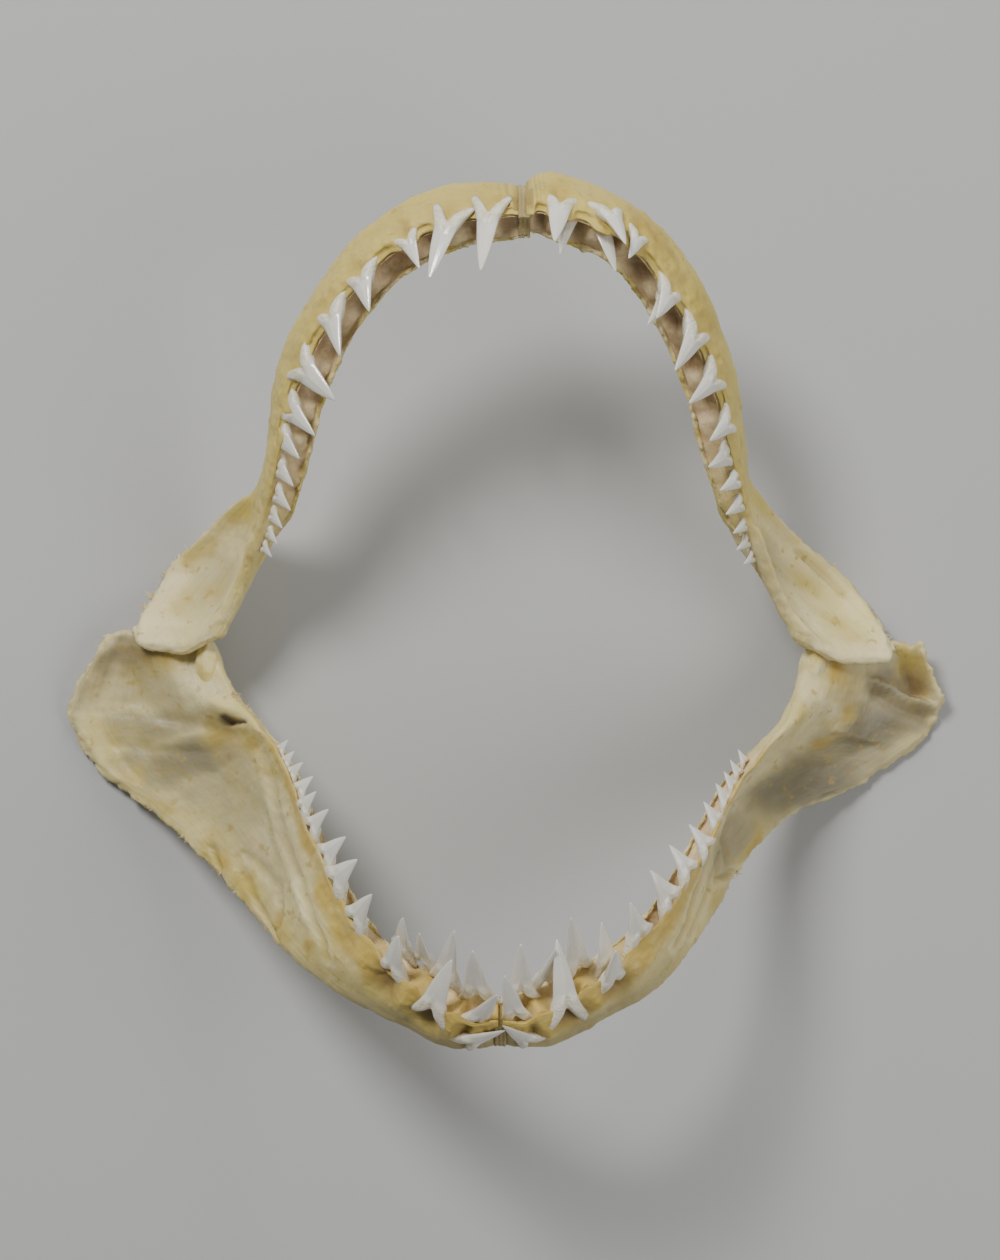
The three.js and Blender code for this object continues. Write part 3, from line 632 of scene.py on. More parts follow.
class Finish(Tree):
    """A material: a Principled shader and the patterns that feed it, on Object coordinates or the lie map."""

    def __init__(self, name):
        self.material = bpy.data.materials.new(name)
        self.material.use_nodes = True
        super().__init__(self.material.node_tree)
        self.shader = self.tree.nodes["Principled BSDF"]
        self.place = self.add("ShaderNodeTexCoord").outputs["Object"]

    def noise(self, scale, detail=4.0, roughness=0.55, distortion=0.0, vector=None):
        node = self.add("ShaderNodeTexNoise")
        self.link(vector or self.place, node.inputs["Vector"])
        for name, value in (("Scale", scale), ("Detail", detail), ("Roughness", roughness),
                            ("Distortion", distortion)):
            node.inputs[name].default_value = value
        return node.outputs["Fac"]

    def grain(self, lie_scale, detail, roughness):
        """Noise that is stretched along the lie of the surface."""
        mapping = self.add("ShaderNodeMapping")
        self.link(self.add("ShaderNodeUVMap", uv_map="lie").outputs["UV"], mapping.inputs["Vector"])
        mapping.inputs["Scale"].default_value = (*lie_scale, 1)
        return self.noise(1, detail, roughness, vector=mapping.outputs["Vector"])

    def cells(self, scale):
        node = self.add("ShaderNodeTexVoronoi")
        self.link(self.place, node.inputs["Vector"])
        node.inputs["Scale"].default_value = scale
        return node.outputs["Distance"]

    def value(self, name):
        return self.add("ShaderNodeAttribute", attribute_name=name).outputs["Fac"]

    def step(self, value, low, high):
        node = self.add("ShaderNodeMapRange", interpolation_type="SMOOTHSTEP")
        self.put(value, node.inputs["Value"])
        node.inputs["From Min"].default_value = low
        node.inputs["From Max"].default_value = high
        return node.outputs["Result"]

    def maths(self, operation, a, b):
        node = self.add("ShaderNodeMath", operation=operation)
        self.put(a, node.inputs[0])
        self.put(b, node.inputs[1])
        return node.outputs["Value"]

    def times(self, a, b):
        return self.maths("MULTIPLY", a, b)

    def plus(self, a, b):
        return self.maths("ADD", a, b)

    def mix(self, amount, a, b):
        """Colour a, with colour b laid over it by an amount of 0 to 1."""
        node = self.add("ShaderNodeMix", data_type="RGBA")
        self.put(amount, node.inputs["Factor"])
        for socket, value in ((node.inputs[6], a), (node.inputs[7], b)):
            self.put(value if isinstance(value, bpy.types.NodeSocket) else (*value, 1.0), socket)
        return node.outputs[2]

    def bump(self, height, strength, distance, under=None):
        node = self.add("ShaderNodeBump")
        node.inputs["Strength"].default_value = strength
        node.inputs["Distance"].default_value = distance
        self.link(height, node.inputs["Height"])
        if under is not None:
            self.link(under, node.inputs["Normal"])
        return node.outputs["Normal"]

    def done(self, colour, roughness, normal, **constants):
        """Feeds the shader. Each constant goes on the shader's own socket."""
        self.put(colour, self.shader.inputs["Base Color"])
        self.put(roughness, self.shader.inputs["Roughness"])
        self.link(normal, self.shader.inputs["Normal"])
        for key, value in constants.items():
            self.shader.inputs[key.replace("_", " ")].default_value = value
        return self.material


def tone(colour, factor):
    return tuple(min(1.0, c * factor) for c in colour)


# Tints that only one material needs.
YELLOWED = (0.66, 0.52, 0.12)
# Brown painted shade for recesses, folds, creases and the places under the upper plates' ends.
BROWN_SHADE = (0.17, 0.105, 0.045)
# Near-black reddish brown: painted shade inside the hole.
HOLE_SHADE = (0.05, 0.018, 0.01)
MEMBRANE_DARK, MEMBRANE_PALE, MEMBRANE_WARM = (0.58, 0.41, 0.22), (0.80, 0.64, 0.38), (0.70, 0.56, 0.31)
TIP_WHITE = (0.70, 0.71, 0.69)
ROOT_YELLOW = (0.68, 0.60, 0.38)


def cartilage_material():
    """Dry cartilage: waxy cream with bone-white and grey areas, oil stains, gum and trench membrane, with
    painted brown shade in recesses and creases and painted highlight on ridges.
    """
    c, n = colours(), Finish("dry_cartilage")
    cloud = n.noise(24, 5)
    mottle = n.noise(95, 6, 0.62)
    grain = n.grain((90, 900), 5, 0.6)
    fine = n.noise(700, 3)
    yellow, grey, edge, in_trench = (n.value(name) for name in ("yellow", "grey", "edge", "trench"))

    blotch = n.step(n.noise(48, 6, 0.6, 0.5), 0.42, 0.6)
    pale_share = n.maths("SUBTRACT", n.step(cloud, 0.34, 0.66), n.times(yellow, 0.6))
    colour = n.mix(n.maths("MAXIMUM", pale_share, 0.0), c.cartilage, c.pale)
    colour = n.mix(n.times(yellow, 0.5), colour, YELLOWED)
    colour = n.mix(n.times(blotch, 0.4), colour, tone(c.cartilage, 0.76))
    colour = n.mix(n.times(n.step(mottle, 0.45, 0.7), 0.3), colour, tone(c.cartilage, 0.78))
    # Bone-white patches, and painted highlight along ridges and beside creases.
    colour = n.mix(n.times(n.value("bone"), n.step(mottle, 0.25, 0.6)), colour, tone(c.pale, 1.1))
    colour = n.mix(n.times(grey, n.plus(n.times(n.step(cloud, 0.2, 0.7), 0.25), 0.75)), colour, c.grey)
    streak = n.times(n.step(grain, 0.46, 0.7), n.plus(n.times(grey, 0.5), 0.09))
    colour = n.mix(streak, colour, tone(c.grey, 1.8))

    stained = n.value("stain")
    colour = n.mix(n.times(stained, 0.85), colour, c.olive)
    colour = n.mix(n.times(stained, n.step(n.noise(60, 6, 0.66, 0.6), 0.42, 0.66)), colour, c.stain)
    freckle = n.times(n.step(n.noise(260, 2), 0.61, 0.72), 0.6)
    colour = n.mix(freckle, colour, tone(c.stain, 0.9))
    colour = n.mix(n.times(n.value("gum"), n.step(n.noise(130, 4, 0.6, 0.4), 0.15, 0.6)), colour, c.gum)
    # Painted shade: brown darkening in the scoops under the teeth, the folds, the creases, the cup and under
    # the upper plates' ends.
    colour = n.mix(n.times(n.value("shade"), 0.85), colour, BROWN_SHADE)

    membrane = n.mix(n.step(n.noise(140, 5, 0.65), 0.35, 0.68), MEMBRANE_DARK, MEMBRANE_PALE)
    membrane = n.mix(n.step(n.noise(60, 4), 0.45, 0.7), membrane, MEMBRANE_WARM)
    # Painted shade in the trench's pits, over the membrane's brown.
    hollow = n.times(n.value("pit"), n.step(n.noise(220, 3), 0.1, 0.6))
    membrane = n.mix(n.times(hollow, 0.7), membrane, c.trench)
    membrane = n.mix(n.value("honey"), membrane, c.gum)
    colour = n.mix(in_trench, colour, membrane)
    # Painted shade: the dark inside of the hole, with a reddish-brown tint.
    colour = n.mix(n.times(n.value("hole"), 0.96), colour, HOLE_SHADE)

    colour = n.mix(n.times(edge, n.step(mottle, 0.35, 0.6)), colour, tone(c.pale, 0.95))
    spotted = n.times(edge, n.step(n.noise(85, 4, 0.6, 0.5), 0.5, 0.62))
    colour = n.mix(n.times(spotted, 0.8), colour, c.olive)

    roughness = n.step(n.plus(n.times(mottle, 0.7), n.times(fine, 0.3)), -0.35, 1.35)
    normal = n.bump(n.plus(n.times(mottle, 0.9), n.times(grain, 0.5)), 0.75, 0.0009)
    normal = n.bump(n.plus(n.cells(620), fine), 0.25, 0.00016, normal)
    normal = n.bump(n.times(in_trench, n.noise(240, 5, 0.7)), 0.7, 0.0008, normal)
    return n.done(colour, roughness, normal, Subsurface_Weight=0.1, Subsurface_Radius=(0.006, 0.004, 0.002),
                  Subsurface_Scale=0.3, Specular_IOR_Level=0.4, Coat_Weight=0.08, Coat_Roughness=0.3)


def tooth_material():
    """Glossy white crown over a duller, pitted root."""
    c, n = colours(), Finish("tooth")
    root = n.value("root")
    cloud = n.noise(180, 4)
    crown = n.mix(n.step(cloud, 0.35, 0.7), c.enamel, tone(c.enamel, 0.93))
    crown = n.mix(n.times(n.value("tip"), 0.3), crown, TIP_WHITE)
    base = n.mix(n.step(n.noise(420, 5, 0.65), 0.4, 0.72), c.root, ROOT_YELLOW)
    roughness = n.plus(n.times(root, 0.36), n.times(cloud, 0.22))
    normal = n.bump(n.grain((700, 30), 3, 0.5), 0.12, 0.0003)
    normal = n.bump(n.times(root, n.plus(n.cells(1500), n.noise(900, 4))), 0.6, 0.0003, normal)
    return n.done(n.mix(root, crown, base), roughness, normal, Subsurface_Weight=0.15,
                  Subsurface_Radius=(0.004, 0.0035, 0.003), Subsurface_Scale=0.35, Coat_Weight=0.25,
                  Coat_Roughness=0.18, IOR=1.55)


def sinew_material():
    """Dried ligament: brown, stringy and dull."""
    c, n = colours(), Finish("dry_sinew")
    strands = n.grain((260, 2600), 6, 0.7)
    cloud = n.noise(110, 5, 0.6)
    colour = n.mix(n.step(cloud, 0.36, 0.66), tone(c.sinew, 0.6), tone(c.sinew, 0.9))
    colour = n.mix(n.times(n.step(strands, 0.45, 0.7), 0.6), colour, tone(c.sinew, 0.55))
    normal = n.bump(n.noise(800, 4), 0.3, 0.0002, n.bump(strands, 0.8, 0.0006))
    return n.done(colour, n.step(cloud, -0.9, 1.1), normal, Subsurface_Weight=0.1,
                  Subsurface_Radius=(0.004, 0.0025, 0.001), Subsurface_Scale=0.4)


def joint_material():
    """Capsule tissue: ivory, with fine strands and brown folds."""
    c, n = colours(), Finish("joint_tissue")
    strands = n.grain((240, 1900), 6, 0.7)
    cloud = n.noise(120, 5, 0.6)
    colour = n.mix(n.step(cloud, 0.36, 0.66), tone(c.cartilage, 0.95), c.pale)
    colour = n.mix(n.times(n.step(strands, 0.5, 0.72), 0.25), colour, c.sinew)
    normal = n.bump(n.noise(800, 4), 0.3, 0.0002, n.bump(strands, 0.4, 0.0004))
    return n.done(colour, n.step(cloud, -0.7, 1.2), normal, Subsurface_Weight=0.1,
                  Subsurface_Radius=(0.005, 0.0035, 0.002), Subsurface_Scale=0.3)


def fibre_material():
    """Pale dry shreds of tissue."""
    c, n = colours(), Finish("torn_fibre")
    cloud = n.noise(160, 4)
    colour = n.mix(n.step(cloud, 0.35, 0.65), tone(c.pale, 0.95), c.sinew)
    normal = n.bump(n.noise(1200, 3), 0.4, 0.0002)
    return n.done(colour, n.step(cloud, -0.6, 1.2), normal, Subsurface_Weight=0.15,
                  Subsurface_Radius=(0.003, 0.002, 0.001), Subsurface_Scale=0.4)


def floor_material():
    """Matt pale board."""
    c, n = colours(), Finish("pale_floor")
    cloud = n.noise(3, 4)
    colour = n.mix(n.step(cloud, 0.2, 0.8), tone(c.floor, 0.98), tone(c.floor, 1.02))
    normal = n.bump(n.noise(240, 4), 0.05, 0.0004)
    return n.done(colour, n.step(cloud, -1.5, 1.3), normal, Specular_IOR_Level=0.2)


def shared_material(name, make):
    return bpy.data.materials.get(name) or make()


# The cartilages.

# Teeth whose root lies less than this many mm behind the tooth edge stand in the front row.
FRONT_ROW = 2
# How far, in mm, a cartilage's far end is rounded out, and how many rings at its near end take no relief.
END_LENGTH = 1.7
HELD_RINGS = 3
# The way round a cartilage's section in metres, as its lie map takes it.
SECTION_ROUND = 0.07
# The folds at the midline: how far they reach in mm, their height and how many radians each mm takes.
FOLD_REACH, FOLD_HEIGHT, FOLD_TURN = 4.0, 0.45, 3.4
# Creases wider than this run round the section. Narrower ones stay on the outer face and get painted shade
# inside them and painted highlight on their lips and along raised ridges.
FINE_CREASE = 2.5


def tooth_gaps(jaw, s, length):
    """1 midway between two neighbours of the front row and 0 at the teeth."""
    gaps = np.zeros_like(s)
    row = [0] + sorted(tooth[0] for tooth in jaw.teeth if tooth[1] < FRONT_ROW)
    for here, after in zip(row, row[1:]):
        reach = 0.3 * (after - here) / length
        gaps = np.maximum(gaps, np.exp(-((s - jaw.place_of(0.5 * (here + after))) / reach) ** 4))
    return gaps


def tooth_sites(jaw, s, length, share):
    """1 where a front tooth is rooted and 0 midway between two; share is how much of its width counts."""
    sites = np.zeros_like(s)
    for at, behind, _, _, width, _, _ in jaw.teeth:
        if behind < FRONT_ROW:
            sites = np.maximum(sites, np.exp(-((s - jaw.place_of(at)) / (share * width / length)) ** 2))
    return sites


def patches(table, s, f, power=2):
    """The strongest of a table's patches at each place: soft ones, or flatter ones with a higher power."""
    cover = np.zeros(np.broadcast(s, f).shape)
    for at, deep, wide, high, strength in table:
        spot = np.exp(-((s - at) / wide) ** power - ((f - deep) / high) ** power)
        cover = np.maximum(cover, strength * spot)
    return cover


class Skin:
    """Every point on one cartilage: where it lies, and how far it belongs to each region (0 to 1).

    s runs along the cartilage and q round its section. f is the share of the way down from the tooth edge,
    depth the same in mm, inset the mm inwards from the outer face, and out the mm from the symphysis.
    """

    def __init__(self, jaw):
        self.jaw, self.length, self.begin = jaw, jaw.travelled[-1], jaw.start()
        self.rows = rows = self.begin + (1 - self.begin) * np.arange(RINGS + 1) / RINGS
        self.height = jaw.frame_at(rows)[4][:, None]
        outline = rounded(section(jaw.form, self.height[:, 0], rows))
        self.count = outline.shape[1]
        self.q = q = np.broadcast_to(np.arange(self.count) / STEPS, outline.shape[:2])
        self.s = s = np.broadcast_to(rows[:, None], q.shape)
        self.depth, self.inset = outline[:, :, 0].copy(), outline[:, :, 1].copy()
        self.f = np.clip(self.depth / self.height, 0, 1)
        self.out = (s - self.begin) * self.length

        last_tooth = jaw.place_of(max(tooth[0] for tooth in jaw.teeth)) + PAST_LAST_TOOTH
        self.toothed = 1 - smooth(last_tooth, last_tooth + TOOTHLESS_BLEND, s)
        self.front = 1 - smooth(*FRONT_END, s)
        self.labial, self.rim = band(q, LABIAL, 0.35), band(q, BASE_EDGE)
        self.lip = band(q, LIP, 0.4) * self.toothed
        plate = np.clip(along(jaw.form["rolled"], rows), 0, 1)[:, None]
        self.trench = band(q, TRENCH, 0.3) * self.toothed * (1 - plate)
        self.trench_floor = band(q, TRENCH_FLOOR, 0.6) * self.toothed * (1 - plate)
        self.edge = np.clip(band(q, EDGE_BEHIND) + band(q, EDGE_BEFORE), 0, 1) * self.toothed
        self.gaps = tooth_gaps(jaw, rows, self.length)[:, None]
        self.sites = tooth_sites(jaw, rows, self.length, 0.4)[:, None]
        self.forks = tooth_sites(jaw, rows, self.length, 0.24)[:, None]
        self.folds = np.exp(-(self.out / FOLD_REACH) ** 2) * (self.labial + self.rim)
        self.folds = self.folds * (1.0 if jaw.upper else 0.25)
        self.columns = (0.25 if jaw.upper else 1.0) * self.front * smooth(5.0, 9.0, self.out)

    def fold_wave(self):
        return np.sin(self.out * FOLD_TURN + 2.0 * self.f)

    def distance(self, path):
        return path_distance(self.s, self.f, path, self.length, self.height)


def press_forms(k):
    """Presses pits, gum and creases, in mm, into the skin's depth and inset, and gives the painted shade in
    creases and the painted highlight on ridges.
    """
    upper, gaps, sites, front = k.jaw.upper, k.gaps, k.sites, k.front
    if upper:
        k.depth += k.trench_floor * (2.2 * gaps - 2.0 * sites - 0.3)
        k.depth += k.edge * (2.6 * gaps * (1 - smooth(0.55, 0.75, k.s)) - 0.8 * sites)
    else:
        k.depth += k.trench_floor * ((2.6 * gaps - 1.2 * sites) * (1 - front)
                                     + (2.2 * sites - 3.0 * (1 - sites)) * front)
        k.depth -= k.edge * ((0.5 + 2.4 * front) * (1 - sites) - 0.9 * sites)
    k.gum_band = k.labial * k.toothed * np.exp(-((k.depth - 5.0) / 5.0) ** 2)
    mound = -0.5 * sites + 0.9 * k.forks if upper else 0.6 * (1 - k.columns)
    k.inset += k.gum_band * (mound + (1.8 * sites + 1.8 * k.forks - 2.2 * (1 - sites)) * k.columns)
    k.inset += FOLD_HEIGHT * k.folds * k.fold_wave()

    furrow_shade, ridge_highlight = np.zeros(k.q.shape), np.zeros(k.q.shape)
    for path, width, deep in CREASES[k.jaw.name]:
        near = k.distance(path)
        if width > FINE_CREASE:
            k.inset += deep * np.exp(-(near / width) ** 2)
            continue
        k.inset += k.labial * deep * np.exp(-(near / width) ** 2)
        # Painted shade inside a crease, and painted highlight beside it or along a raised ridge.
        line = k.labial * np.exp(-(near / (0.9 * width)) ** 2)
        if deep > 0:
            furrow_shade = np.maximum(furrow_shade, line)
            ridge_highlight = np.maximum(ridge_highlight, k.labial * np.exp(-((near - 2 * width) / width) ** 2) * 0.7)
        else:
            ridge_highlight = np.maximum(ridge_highlight, line)
    if k.jaw.name == "lower_jaw_right":
        # The folded corner: a cup, and the raised wall beside it.
        k.inset += 4.8 * smooth(0.92, 0.94, k.s) * np.exp(-((k.s - 0.955) / 0.03) ** 4
                                                          - ((k.f - 0.88) / 0.085) ** 2)
        k.inset -= 4.2 * smooth(0.905, 0.93, k.s) * np.exp(-((k.f - 0.99) / 0.035) ** 2)
    return furrow_shade, ridge_highlight


def swept(k):
    """Places of the skin's points in mm, ring by ring, cut at the symphysis and rounded at the far end."""
    jaw = k.jaw
    near_crest, near_base, middle_out = jaw.form["round"]
    pull = (near_crest * (1 - smooth(0.0, 0.4, k.f)) ** 1.5 + near_base * smooth(0.72, 1.0, k.f) ** 1.5
            - middle_out)
    eased = k.s - smooth(0.82, 1.0, k.s) * pull / k.length
    crest, down, inwards, back, _ = (v.reshape(*k.q.shape, -1) for v in jaw.frame_at(eased.ravel()))
    points = crest + down * k.depth[:, :, None] + inwards * k.inset[:, :, None]

    plane = jaw.symphysis_x + jaw.side * (LIGAMENT_WIDTH / 2 - SYMPHYSIS_LAP)
    points[:, :, 0] += np.where(points[:, :, 0] * jaw.side < plane * jaw.side, plane - points[:, :, 0], 0)
    points[0, :, 0] = plane
    opened = np.clip((k.s - k.begin) / (2.4 / k.length), 0, 1)[:, :, None]
    middle = points.mean(axis=1, keepdims=True)
    share = 0.9 + 0.1 * np.sqrt(1 - (1 - opened) ** 2)
    points[:, :, 1:] = middle[:, :, 1:] + (points - middle)[:, :, 1:] * share

    thick = along(jaw.form["thick"], k.rows[-1:])[0]
    last = k.inset[-1]
    hollowed = last - np.clip(last, -0.5, thick + 0.5)
    tail = []
    for ring in range(1, END_RINGS + 1):
        angle = math.radians(90 / END_RINGS * ring)
        squeeze = max(0.05, math.cos(angle)) ** 0.8
        thin = 0.5 * thick + (last - 0.5 * thick) * squeeze + hollowed * (1 - squeeze)
        tail.append(crest[-1] + down[-1] * k.depth[-1][:, None] + inwards[-1] * thin[:, None]
                    + back[-1] * (END_LENGTH * math.sin(angle)))
    return np.concatenate([points, np.array(tail)])


def held_on(values, k):
    """A mask at every point, with the last ring's values kept over the rounded end."""
    values = np.broadcast_to(values, k.q.shape)
    return np.concatenate([values, np.repeat(values[-1:], END_RINGS, axis=0)])


def weathered(points, k, seed):
    """The swept points with gentle relief and torn edges. The rings at the symphysis stay in place."""
    flat = points.reshape(-1, 3)
    relief, torn = sizes().surface_relief / MM, sizes().edge_raggedness / MM
    ragged = held_on(np.clip(k.lip + k.rim * 0.9 + 0.5 * smooth(0.97, 1.0, k.s), 0, 1), k).ravel()
    height = waves(flat, 0.09, 3, seed) * relief * 1.8
    height += waves(flat, 0.4, 4, seed + 1) * relief * (0.7 + 1.1 * held_on(k.gum_band, k).ravel())
    tears = waves(flat, 0.35, 5, seed + 2) * torn
    tears += waves(flat, 1.1, 3, seed + 3) * torn * 0.5
    hold = np.ones(len(flat))
    hold[:HELD_RINGS * k.count] = 0
    flat = flat + surface_normals(points) * ((height + tears * ragged) * hold)[:, None]
    flat[:, 2] = np.maximum(flat[:, 2], FLOOR_TRIM)
    return flat


def masks(k, points, furrow_shade, ridge_highlight, seed):
    """The named values, 0 to 1 at each point, that the cartilage's material reads."""
    name, upper = k.jaw.name, k.jaw.upper
    s, f, q, labial, toothed, front, sites = k.s, k.f, k.q, k.labial, k.toothed, k.front, k.sites

    reach = [9, 9, 8, 6, 2, 0] if upper else [7, 11, 10, 6, 3, 0]
    scallop = np.interp(k.rows, [0, 0.1, 0.45, 0.62, 0.85, 1], reach)[:, None] * (0.72 + 0.4 * sites)
    near_teeth = np.clip(labial + band(q, GUM_BEFORE, 0.3) + band(q, GUM_BEHIND, 0.4), 0, 1)
    gum = (1 - smooth(0.65, 1.1, k.depth / np.maximum(scallop, 0.1))) * near_teeth * toothed

    # Pits in the trench floor and at the front seats, darkened with painted shade.
    pit = band(q, PIT_FLOOR, 0.45) * toothed * k.gaps ** 2
    if upper:
        gum = gum * 0.35
        grey = 0 * labial
        bone = labial * smooth(0.74, 0.86, s) * (0.3 + 0.4 * smooth(0.95, 1.0, s))
        honey = 0 * labial
        yellow = 1.0 - smooth(0.7, 0.8, s)
    else:
        grey = labial * (0.3 * smooth(0.5, 0.7, s) * np.exp(-((f - 0.6) / 0.35) ** 2)
                         + 0.5 * (1 - smooth(0.2, 0.45, s)) * smooth(0.4, 0.7, f))
        bone = 0.5 * labial * smooth(0.5, 0.7, s)
        pit = pit * (1 - front) + 0.8 * band(q, FRONT_SEATS) * sites * front
        honey = (1 - 0.8 * sites) * front
        yellow = 0.3 * (1 - smooth(0.4, 0.6, s))

    # The patches of the tables, with edges that wander.
    wander = waves(points[:len(k.rows)].reshape(-1, 3), 0.11, 3, seed + 7).reshape(q.shape)
    around, across = s + 0.014 * wander, f + 0.09 * np.roll(wander, 20, axis=0)
    grey = np.maximum(grey, labial * patches(GREYS[name], around, across, 4))
    bone = np.maximum(bone, labial * patches(PALES[name], around, across))
    stain = patches(STAINS[name], around, across) * np.clip(labial + k.rim, 0, 1) + 0.12 * (1 - k.trench)

    hole = np.zeros(q.shape)
    # The hole on the lower left plate: painted shade over a shallow crease, with a reddish-brown tint.
    if name == "lower_jaw_left":
        slit = np.exp(-(k.distance([(0.83, 0.15), (0.815, 0.07)]) / 0.7) ** 2)
        mouth = np.exp(-((s - 0.834) / 0.013) ** 4 - ((f - 0.165) / 0.036) ** 4)
        hole = 1.4 * labial * np.maximum(mouth, 0.8 * slit)
    # Painted brown shade: in the scoops under the front teeth's forks, along the midline folds, at the SHADES
    # places and in the creases.
    shade = (0.4 * k.edge + 1.1 * k.gum_band) * sites ** 1.5 * k.columns
    shade = shade + 0.5 * k.folds * (k.fold_wave() > 0.2)
    shade = shade + labial * patches(SHADES[name], s, f) + 0.3 * furrow_shade
    # bone holds the bone-white patches together with the painted highlight on ridges.
    values = {
        "gum": gum, "grey": grey, "bone": np.maximum(bone, ridge_highlight), "stain": stain, "hole": hole,
        "trench": k.trench, "edge": 0.8 * k.lip + 0.5 * k.rim, "pit": pit, "honey": honey, "shade": shade,
        "yellow": yellow,
    }
    clipped = ("grey", "stain", "hole", "edge", "shade")
    return {key: np.clip(value, 0, 1) if key in clipped else value for key, value in values.items()}


def cartilage_piece(jaw):
    """One cartilage, swept along its rails with creases, pits, torn edges and the masks that colour it."""
    seed = 11 * len(jaw.name) + (5 if jaw.side > 0 else 0) + (3 if jaw.upper else 0)
    k = Skin(jaw)
    furrow_shade, ridge_highlight = press_forms(k)
    points = swept(k)
    flat = weathered(points, k, seed)
    rings = len(points)
    piece = mesh_piece(jaw.name + "_cartilage", placed(flat), tube_faces(rings, k.count))
    mesh = piece.data
    mesh.materials.append(shared_material("dry_cartilage", cartilage_material))
    for name, values in masks(k, points, furrow_shade, ridge_highlight, seed).items():
        add_values(mesh, name, held_on(values, k))
    ring, step = np.divmod(np.arange(rings * k.count), k.count)
    run = np.concatenate([k.rows, k.rows[-1] + 0.002 * np.arange(1, END_RINGS + 1)])
    add_lie(mesh, np.stack([run[ring] * k.length * MM, step / k.count * SECTION_ROUND], axis=1))
    close_and_turn_out(mesh)
    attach(piece, "root")
    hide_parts(jaw.name)
    return piece


def surface_normals(points):
    """Outward directions of a swept grid of rings."""
    round_about = np.roll(points, -1, axis=1) - np.roll(points, 1, axis=1)
    forward = np.empty_like(points)
    forward[1:-1] = points[2:] - points[:-2]
    forward[0], forward[-1] = points[1] - points[0], points[-1] - points[-2]
    normals = np.cross(round_about, forward)
    normals /= np.maximum(np.linalg.norm(normals, axis=2, keepdims=True), 1e-9)
    middle = points.mean(axis=1, keepdims=True)
    if ((points - middle) * normals).sum() < 0:
        normals = -normals
    return normals.reshape(-1, 3)


# The teeth.

# Each kind of tooth: how deep its root is forked, how far it bends sideways, and its half-widths at these
# heights. Its thickness follows, as heights and shares.
TOOTH_HEIGHTS = [0, 0.06, 0.13, 0.2, 0.28, 0.36, 0.46, 0.58, 0.7, 0.8, 0.9, 0.97, 1]
TOOTH_KINDS = {
    "tooth_a_slender": (
        0.25, 0.03, [0.5, 0.5, 0.45, 0.375, 0.31, 0.265, 0.235, 0.205, 0.165, 0.125, 0.075, 0.03, 0]),
    "tooth_b_broad": (
        0.25, 0.12, [0.5, 0.5, 0.46, 0.4, 0.335, 0.28, 0.235, 0.19, 0.145, 0.105, 0.06, 0.024, 0]),
    "tooth_c_small": (
        0.2, 0.16, [0.5, 0.5, 0.47, 0.42, 0.36, 0.31, 0.26, 0.205, 0.155, 0.11, 0.065, 0.026, 0]),
}


TOOTH_THICKNESS = ([0, 0.1, 0.2, 0.35, 0.55, 0.8, 0.93, 1.0], [0.28, 0.4, 0.5, 0.52, 0.42, 0.24, 0.12, 0.0])
# The shortest tooth, in mm, of the slender and of the broad kind. Shorter ones are small.
SLENDER_FROM, BROAD_FROM = 21.5, 12.5


def tooth_mould(name, fork, bend, half_widths):
    """A tooth one unit wide and long: a two-armed root, a blade with sharp edges and a tip curved back."""
    across, rows = 12, 28
    u = np.linspace(-1, 1, 2 * across + 1)
    v = (np.arange(rows + 1) / rows)[:, None] ** 0.9
    arms = fork * (1 - smooth(0.0, 0.85, np.abs(u))) + 0.07 * smooth(0.84, 1.0, np.abs(u)) ** 1.3
    z = v + arms[None, :] * (1 - v) ** 2.2
    half = np.interp(z, TOOTH_HEIGHTS, half_widths)
    x = u[None, :] * half + bend * np.maximum(z - 0.3, 0) ** 1.6
    rootness = 1 - smooth(0.3, 0.42, z - 0.06 * (1 - np.abs(u)[None, :]))
    thick = 0.3 * np.interp(z, *TOOTH_THICKNESS)
    round_edge = np.sqrt(np.clip(1 - np.abs(u) ** 3.5, 0, 1))[None, :]
    sharp_edge = np.clip(1 - u ** 2, 0, 1)[None, :] ** 0.85
    profile = rootness * round_edge + (1 - rootness) * sharp_edge
    dimple = 1 - 0.35 * rootness * (1 - smooth(0.0, 0.35, np.abs(u)))[None, :]
    closed = np.sqrt(np.clip(v / 0.1, 0, 1))
    outer = -thick * profile * closed * dimple * (0.6 + 0.12 * rootness)
    inner = thick * profile * closed * (1.1 + 0.1 * rootness)
    ridge = 1 + 0.05 * np.cos(9 * u)[None, :] * (1 - rootness)
    curl = 0.3 * 0.75 * np.maximum(0, z - 0.35) ** 1.5 + 0.09 * np.clip(1 - z / 0.25, 0, 1) ** 2
    grid = 2 * across + 1
    points, faces = [], []
    for surface in (outer * ridge, inner):
        points.append(np.stack([x, surface + curl, np.broadcast_to(z, x.shape)], axis=-1).reshape(-1, 3))
    offset = (rows + 1) * grid
    for r in range(rows):
        for i in range(grid - 1):
            a = r * grid + i
            cell = [a, a + 1, a + grid + 1, a + grid]
            if r == 0 and i in (0, grid - 2):
                # The two surfaces share three corners here, so the cut has to run through the fourth.
                halves = ((0, 1, 2), (0, 2, 3)) if i == 0 else ((0, 1, 3), (1, 2, 3))
            else:
                halves = ((0, 1, 2, 3),)
            for half_cell in halves:
                faces.append(tuple(cell[k] for k in half_cell))
                faces.append(tuple(offset + cell[k] for k in reversed(half_cell)))
    points = np.concatenate(points)
    mould = mesh_piece(name, points, faces)
    add_values(mould.data, "root", np.concatenate([rootness.ravel()] * 2))
    add_values(mould.data, "tip", np.concatenate([smooth(0.75, 1.0, z).ravel()] * 2))
    add_lie(mould.data, points[:, [0, 2]] * 0.02)
    close_and_turn_out(mould.data, weld=1e-5)
    return mould


